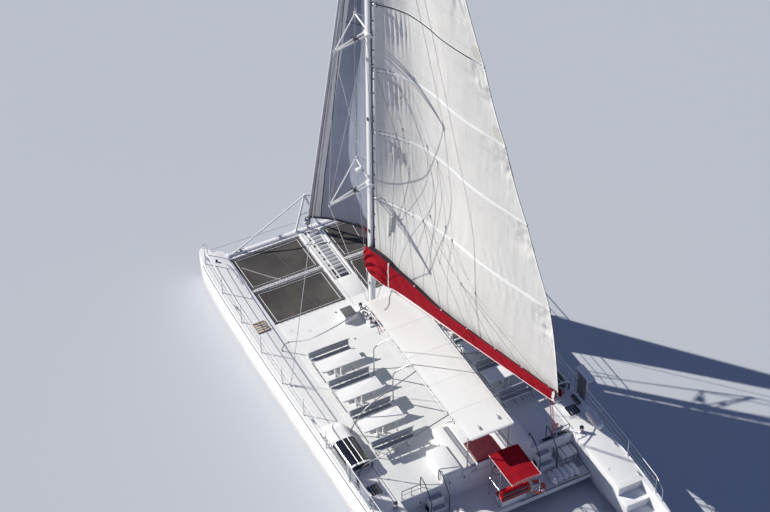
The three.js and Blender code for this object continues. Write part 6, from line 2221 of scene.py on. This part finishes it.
def makeCanopyFrame():
    z, mid = 2.49, helm["middle"]
    shape = Shape()
    for way in (-1, 1):
        y = mid + way * 0.57
        shape.tube([(-5.61, y, z), (-7.14, y, z)], 0.017, "steel", 12)
        for x in (-5.65, -6.35):
            shape.tube([(x, y, onPlatform), (x, y, z)], 0.017, "steel", 12)
            flange(shape, x, y, onPlatform, 0.04)
            shape.lathe([(0.017, -0.035), (0.024, -0.03), (0.024, 0.02), (0.017, 0.025)], "steel", (x, y, z - 0.02),
                        sides=12)
        shape.tube([(-6.35, y, 1.75), (-6.95, y, z)], 0.0125, "steel", 10)
        shape.tube([(-5.65, y, 1.45), (-6.35, y, 1.45)], 0.0125, "steel", 10)
    for x in (-5.61, -6.37, -7.14):
        shape.tube([(x, mid - 0.57, z), (x, mid + 0.57, z)], 0.0165, "steel", 12)
        shape.tube([(x, mid, z), (x, mid, 2.566)], 0.012, "steel", 10)
    shape.make("canopyFrame", nodes=("canopy_frame",), slot="steel")


def makeFenders(where):
    low, high = helm["fenders"][where]
    pitch = 0.228
    count = int((high - low + 0.01) / pitch)
    shape = Shape()
    start = low + (high - low - (count - 1) * pitch) / 2
    profile = [(0.0, 0), (0.02, 0.0), (0.03, 0.012), (0.028, 0.03), (0.07, 0.055), (0.104, 0.1), (0.1175, 0.15),
               (0.1175, 0.2), (0.1165, 0.21), (0.1165, 0.43), (0.1175, 0.44), (0.1175, 0.49), (0.104, 0.54),
               (0.07, 0.585), (0.028, 0.61), (0.03, 0.628), (0.02, 0.64), (0, 0.64)]
    for k in range(count):
        y = start + k * pitch
        shape.lathe(profile, "fender", (-6.47, y, 0.7185), (1, 0, 0), 22)
        for x in (-6.462, -5.838):
            shape.lathe(mirrored(0, [(0.012, 0.009), (0.019, 0.004)]), "board", (x, y, 0.7185),
                        (1, 0, 0), 12)
        shape.tube([(-5.84, y, 0.72), (-5.79, y + 0.02, 0.7), (-5.76, y + 0.03, 0.63), (-5.8, y, 0.61)], 0.007,
                   "redRope", 6, 4)
    for x in (-6.3, -6.0):  # lashing over the row
        over = []
        for k in range(count):
            over += [(x, start + (k - 0.5) * pitch, 0.8), (x, start + k * pitch, 0.842)]
        shape.tube([(x, start - 0.5 * pitch, 0.61), *over[1:], (x, start + (count - 0.5) * pitch, 0.61)], 0.008,
                   "whiteTape", 6, 3)
    shape.block((-6.24, start - 0.02, 0.7), (-6.06, start + (count - 1) * pitch + 0.02, 0.738), "board", 0.01)
    shape.make(f"fenderRow_{where}", nodes=(f"fenders_{where}",), slot="vinyl")


def makePlatformGear():
    raft = Shape()
    for low, high in ((0.615, 0.815), (0.825, 1.02)):
        raft.block((-5.715, -3.445, low), (-5.245, -2.785, high), "gelcoat", 0.05, 4)
    raft.block((-5.708, -3.438, 0.81), (-5.252, -2.792, 0.83), "rubber", 0.004)
    for y in (-3.28, -2.95):
        raft.tube([(-5.722, y, 0.62), (-5.722, y, 0.98), (-5.68, y, 1.018), (-5.28, y, 1.018), (-5.238, y, 0.98),
                   (-5.238, y, 0.62)], 0.01, "charcoal", 6, 3)
    for y in (-3.4, -2.83):
        raft.block((-5.73, y - 0.02, onPlatform), (-5.23, y + 0.02, 0.63), "steel", 0.005)
    raft.make("raftCanister", nodes=("liferaft",), slot="gelcoat")
    shape = Shape()
    ring = [(-6.22 + 0.28 * cos(t), -1.42 + 0.28 * sin(t), 0.665) for t in turns(40)]
    shape.tube(ring, 0.055, "orange", 14, closed=True)
    for k in range(4):
        shape.tube(ring[k * 10 + 1:k * 10 + 5], 0.058, "whiteTape", 14)
    grab = [(-6.22 + (0.355 + 0.03 * sin(4 * t)) * cos(t), -1.42 + (0.355 + 0.03 * sin(4 * t)) * sin(t), 0.66)
            for t in turns(48)]
    shape.tube(grab, 0.007, "rope", 6, closed=True)
    shape.make("lifeRing", slot="canvas")
    gear = Shape()
    gear.block((-6.05, -3.42, 0.6), (-5.82, -2.6, 0.66), "board", 0.01)
    for y in (-1.2, 0.75, 1.0):
        gear.lathe([(0, 0), (0.09, 0), (0.09, 0.012), (0.07, 0.016), (0, 0.012)], "shell", (-5.75, y, 0.598),
                   sides=24)
    for side in (-1, 1):  # boarding ladders folded on the after edge, cleats, rail
        for off in (0.12, 0.42):
            gear.tube([(-6.52, side * (0.95 + off), 0.62), (-6.5, side * (0.95 + off), 1.05),
                       (-6.46, side * (0.95 + off), 1.32)], 0.0125, "steel", 9)
        for z in (0.76, 0.95, 1.14):
            gear.tube([(-6.507, side * 1.07, z), (-6.507, side * 1.37, z)], 0.011, "steel", 8)
        gear.block((-6.5, side * 3.0 - 0.05, 0.598), (-6.4, side * 3.0 + 0.05, 0.622), "steel", 0.008)
        gear.tube(mirrored(side * 3.0, [(-6.45, 0.14, 0.645), (-6.45, 0.06, 0.65)]), 0.012, "steel", 9, 3)
        gear.tube([(-6.45, side * 3.0 - 0.05, 0.61), (-6.45, side * 3.0 - 0.05, 0.65)], 0.01, "steel", 8)
        gear.tube([(-6.45, side * 3.0 + 0.05, 0.61), (-6.45, side * 3.0 + 0.05, 0.65)], 0.01, "steel", 8)
        gear.tube([(-6.52, y, 0.625) for y in (side * 0.6, side * 3.46)], 0.02, "rubber", 8)
    gear.make("platformGear", slot="steel")


def makeRudder(side, where):
    y = side * hulls["middle"]
    foil = [(0.19, 0), (0.15, 0.026), (0.09, 0.041), (-0.02, 0.041), (-0.15, 0.035), (-0.3, 0.018), (-0.43, 0.004)]
    outline = [*foil, *((a, -b) for a, b in foil[:0:-1])]
    shape = Shape()
    shape.loft([[(-8.5 + a * k, y + b * k, z) for a, b in outline]
                for z, k in ((-0.43, 0.96), (-0.45, 1), (-0.75, 0.93), (-1.05, 0.83), (-1.3, 0.72), (-1.335, 0.68),
                             (-1.35, 0.6))], "hull")
    shape.tube([(-8.5, y, -1.3), (-8.5, y, 0.28)], 0.0348, "steel", 18)
    shape.make(f"rudderBlade_{where}", f"rudder_{where}", (f"rudder_{where}",), "gelcoat")
    leg = Shape()
    fin = [(-6.64, 0), (-6.67, 0.028), (-6.76, 0.04), (-6.88, 0.03), (-6.96, 0.006)]
    ring = [*fin, *((a, -b) for a, b in fin[:0:-1])]
    leg.loft([[(a, y + b, z) for a, b in ring] for z in (-1.06, -0.85, -0.7, -0.55, -0.42)], "shell")
    leg.lathe([(0, -0.05), (0.0215, -0.05), (0.0215, 0.09), (0.06, 0.09), (0.07, 0.1), (0.095, 0.25), (0.098, 0.4),
               (0.095, 0.52), (0.055, 0.7), (0.02, 0.75), (0, 0.76)], "shell", (-7.2, y, -1.06), (1, 0, 0), 28)
    for z in (-0.62, -0.9):
        leg.block((-6.9, y - 0.0405, z), (-6.7, y + 0.0405, z + 0.006), "rubber", 0.001)
    leg.make(f"driveLeg_{where}", nodes=(f"drive_leg_{where}",), slot="steel")
    screw = Shape()
    at = Vector((-7.2, y, -1.06))
    screw.lathe([(0, -0.15), (0.02, -0.147), (0.034, -0.125), (0.042, -0.11), (0.044, -0.09), (0.058, -0.06),
                 (0.06, -0.04), (0.06, 0.075), (0.054, 0.08), (0.0222, 0.08), (0.0222, -0.05), (0, -0.0505)],
                "bronze", at, (1, 0, 0), 26)
    for k in range(3):
        t = 2 * pi * k / 3
        out, round_ = Vector((0, cos(t), sin(t))), Vector((0, -sin(t), cos(t)))
        rings = []
        for share in np.linspace(0, 1, 9):
            r, chord, pitch = glideTable([(0, 0.045, 0.055, 1.0), (0.48, 0.15, 0.075, 0.7),
                                          (0.8, 0.225, 0.055, 0.54), (1, 0.26, 0.02, 0.45)], share)
            ahead = Vector((1, 0, 0)) * sin(pitch) + round_ * cos(pitch)
            thick = ahead.cross(out) * (0.01 * (1 - share) + 0.003)
            rings.append([at + out * r + ahead * (chord * cos(a)) + thick * sin(a) for a in turns(16)])
        screw.loft(rings, "bronze")
    screw.make(f"propellerBlades_{where}", f"propeller_{where}", (f"propeller_{where}",), "bronze")


makeHelmBench()
makeHelmBack()
makePedestal()
makeCanopy()
makeCanopyFrame()
for where in helm["fenders"]:
    makeFenders(where)
makePlatformGear()
bothSides(makeRudder)
print("stage: helm platform, rudders and drives")


# floor
def makeFloor():
    reach = 300
    mesh = bpy.data.meshes.new("floor")
    mesh.from_pydata([(-reach, -reach, 0), (reach, -reach, 0), (reach, reach, 0), (-reach, reach, 0)], [],
                     [(0, 1, 2, 3)])
    mesh.materials.append(Paint("studioFloor", light["floor"], 0.85).material)
    addObject("floor", mesh)


makeFloor()
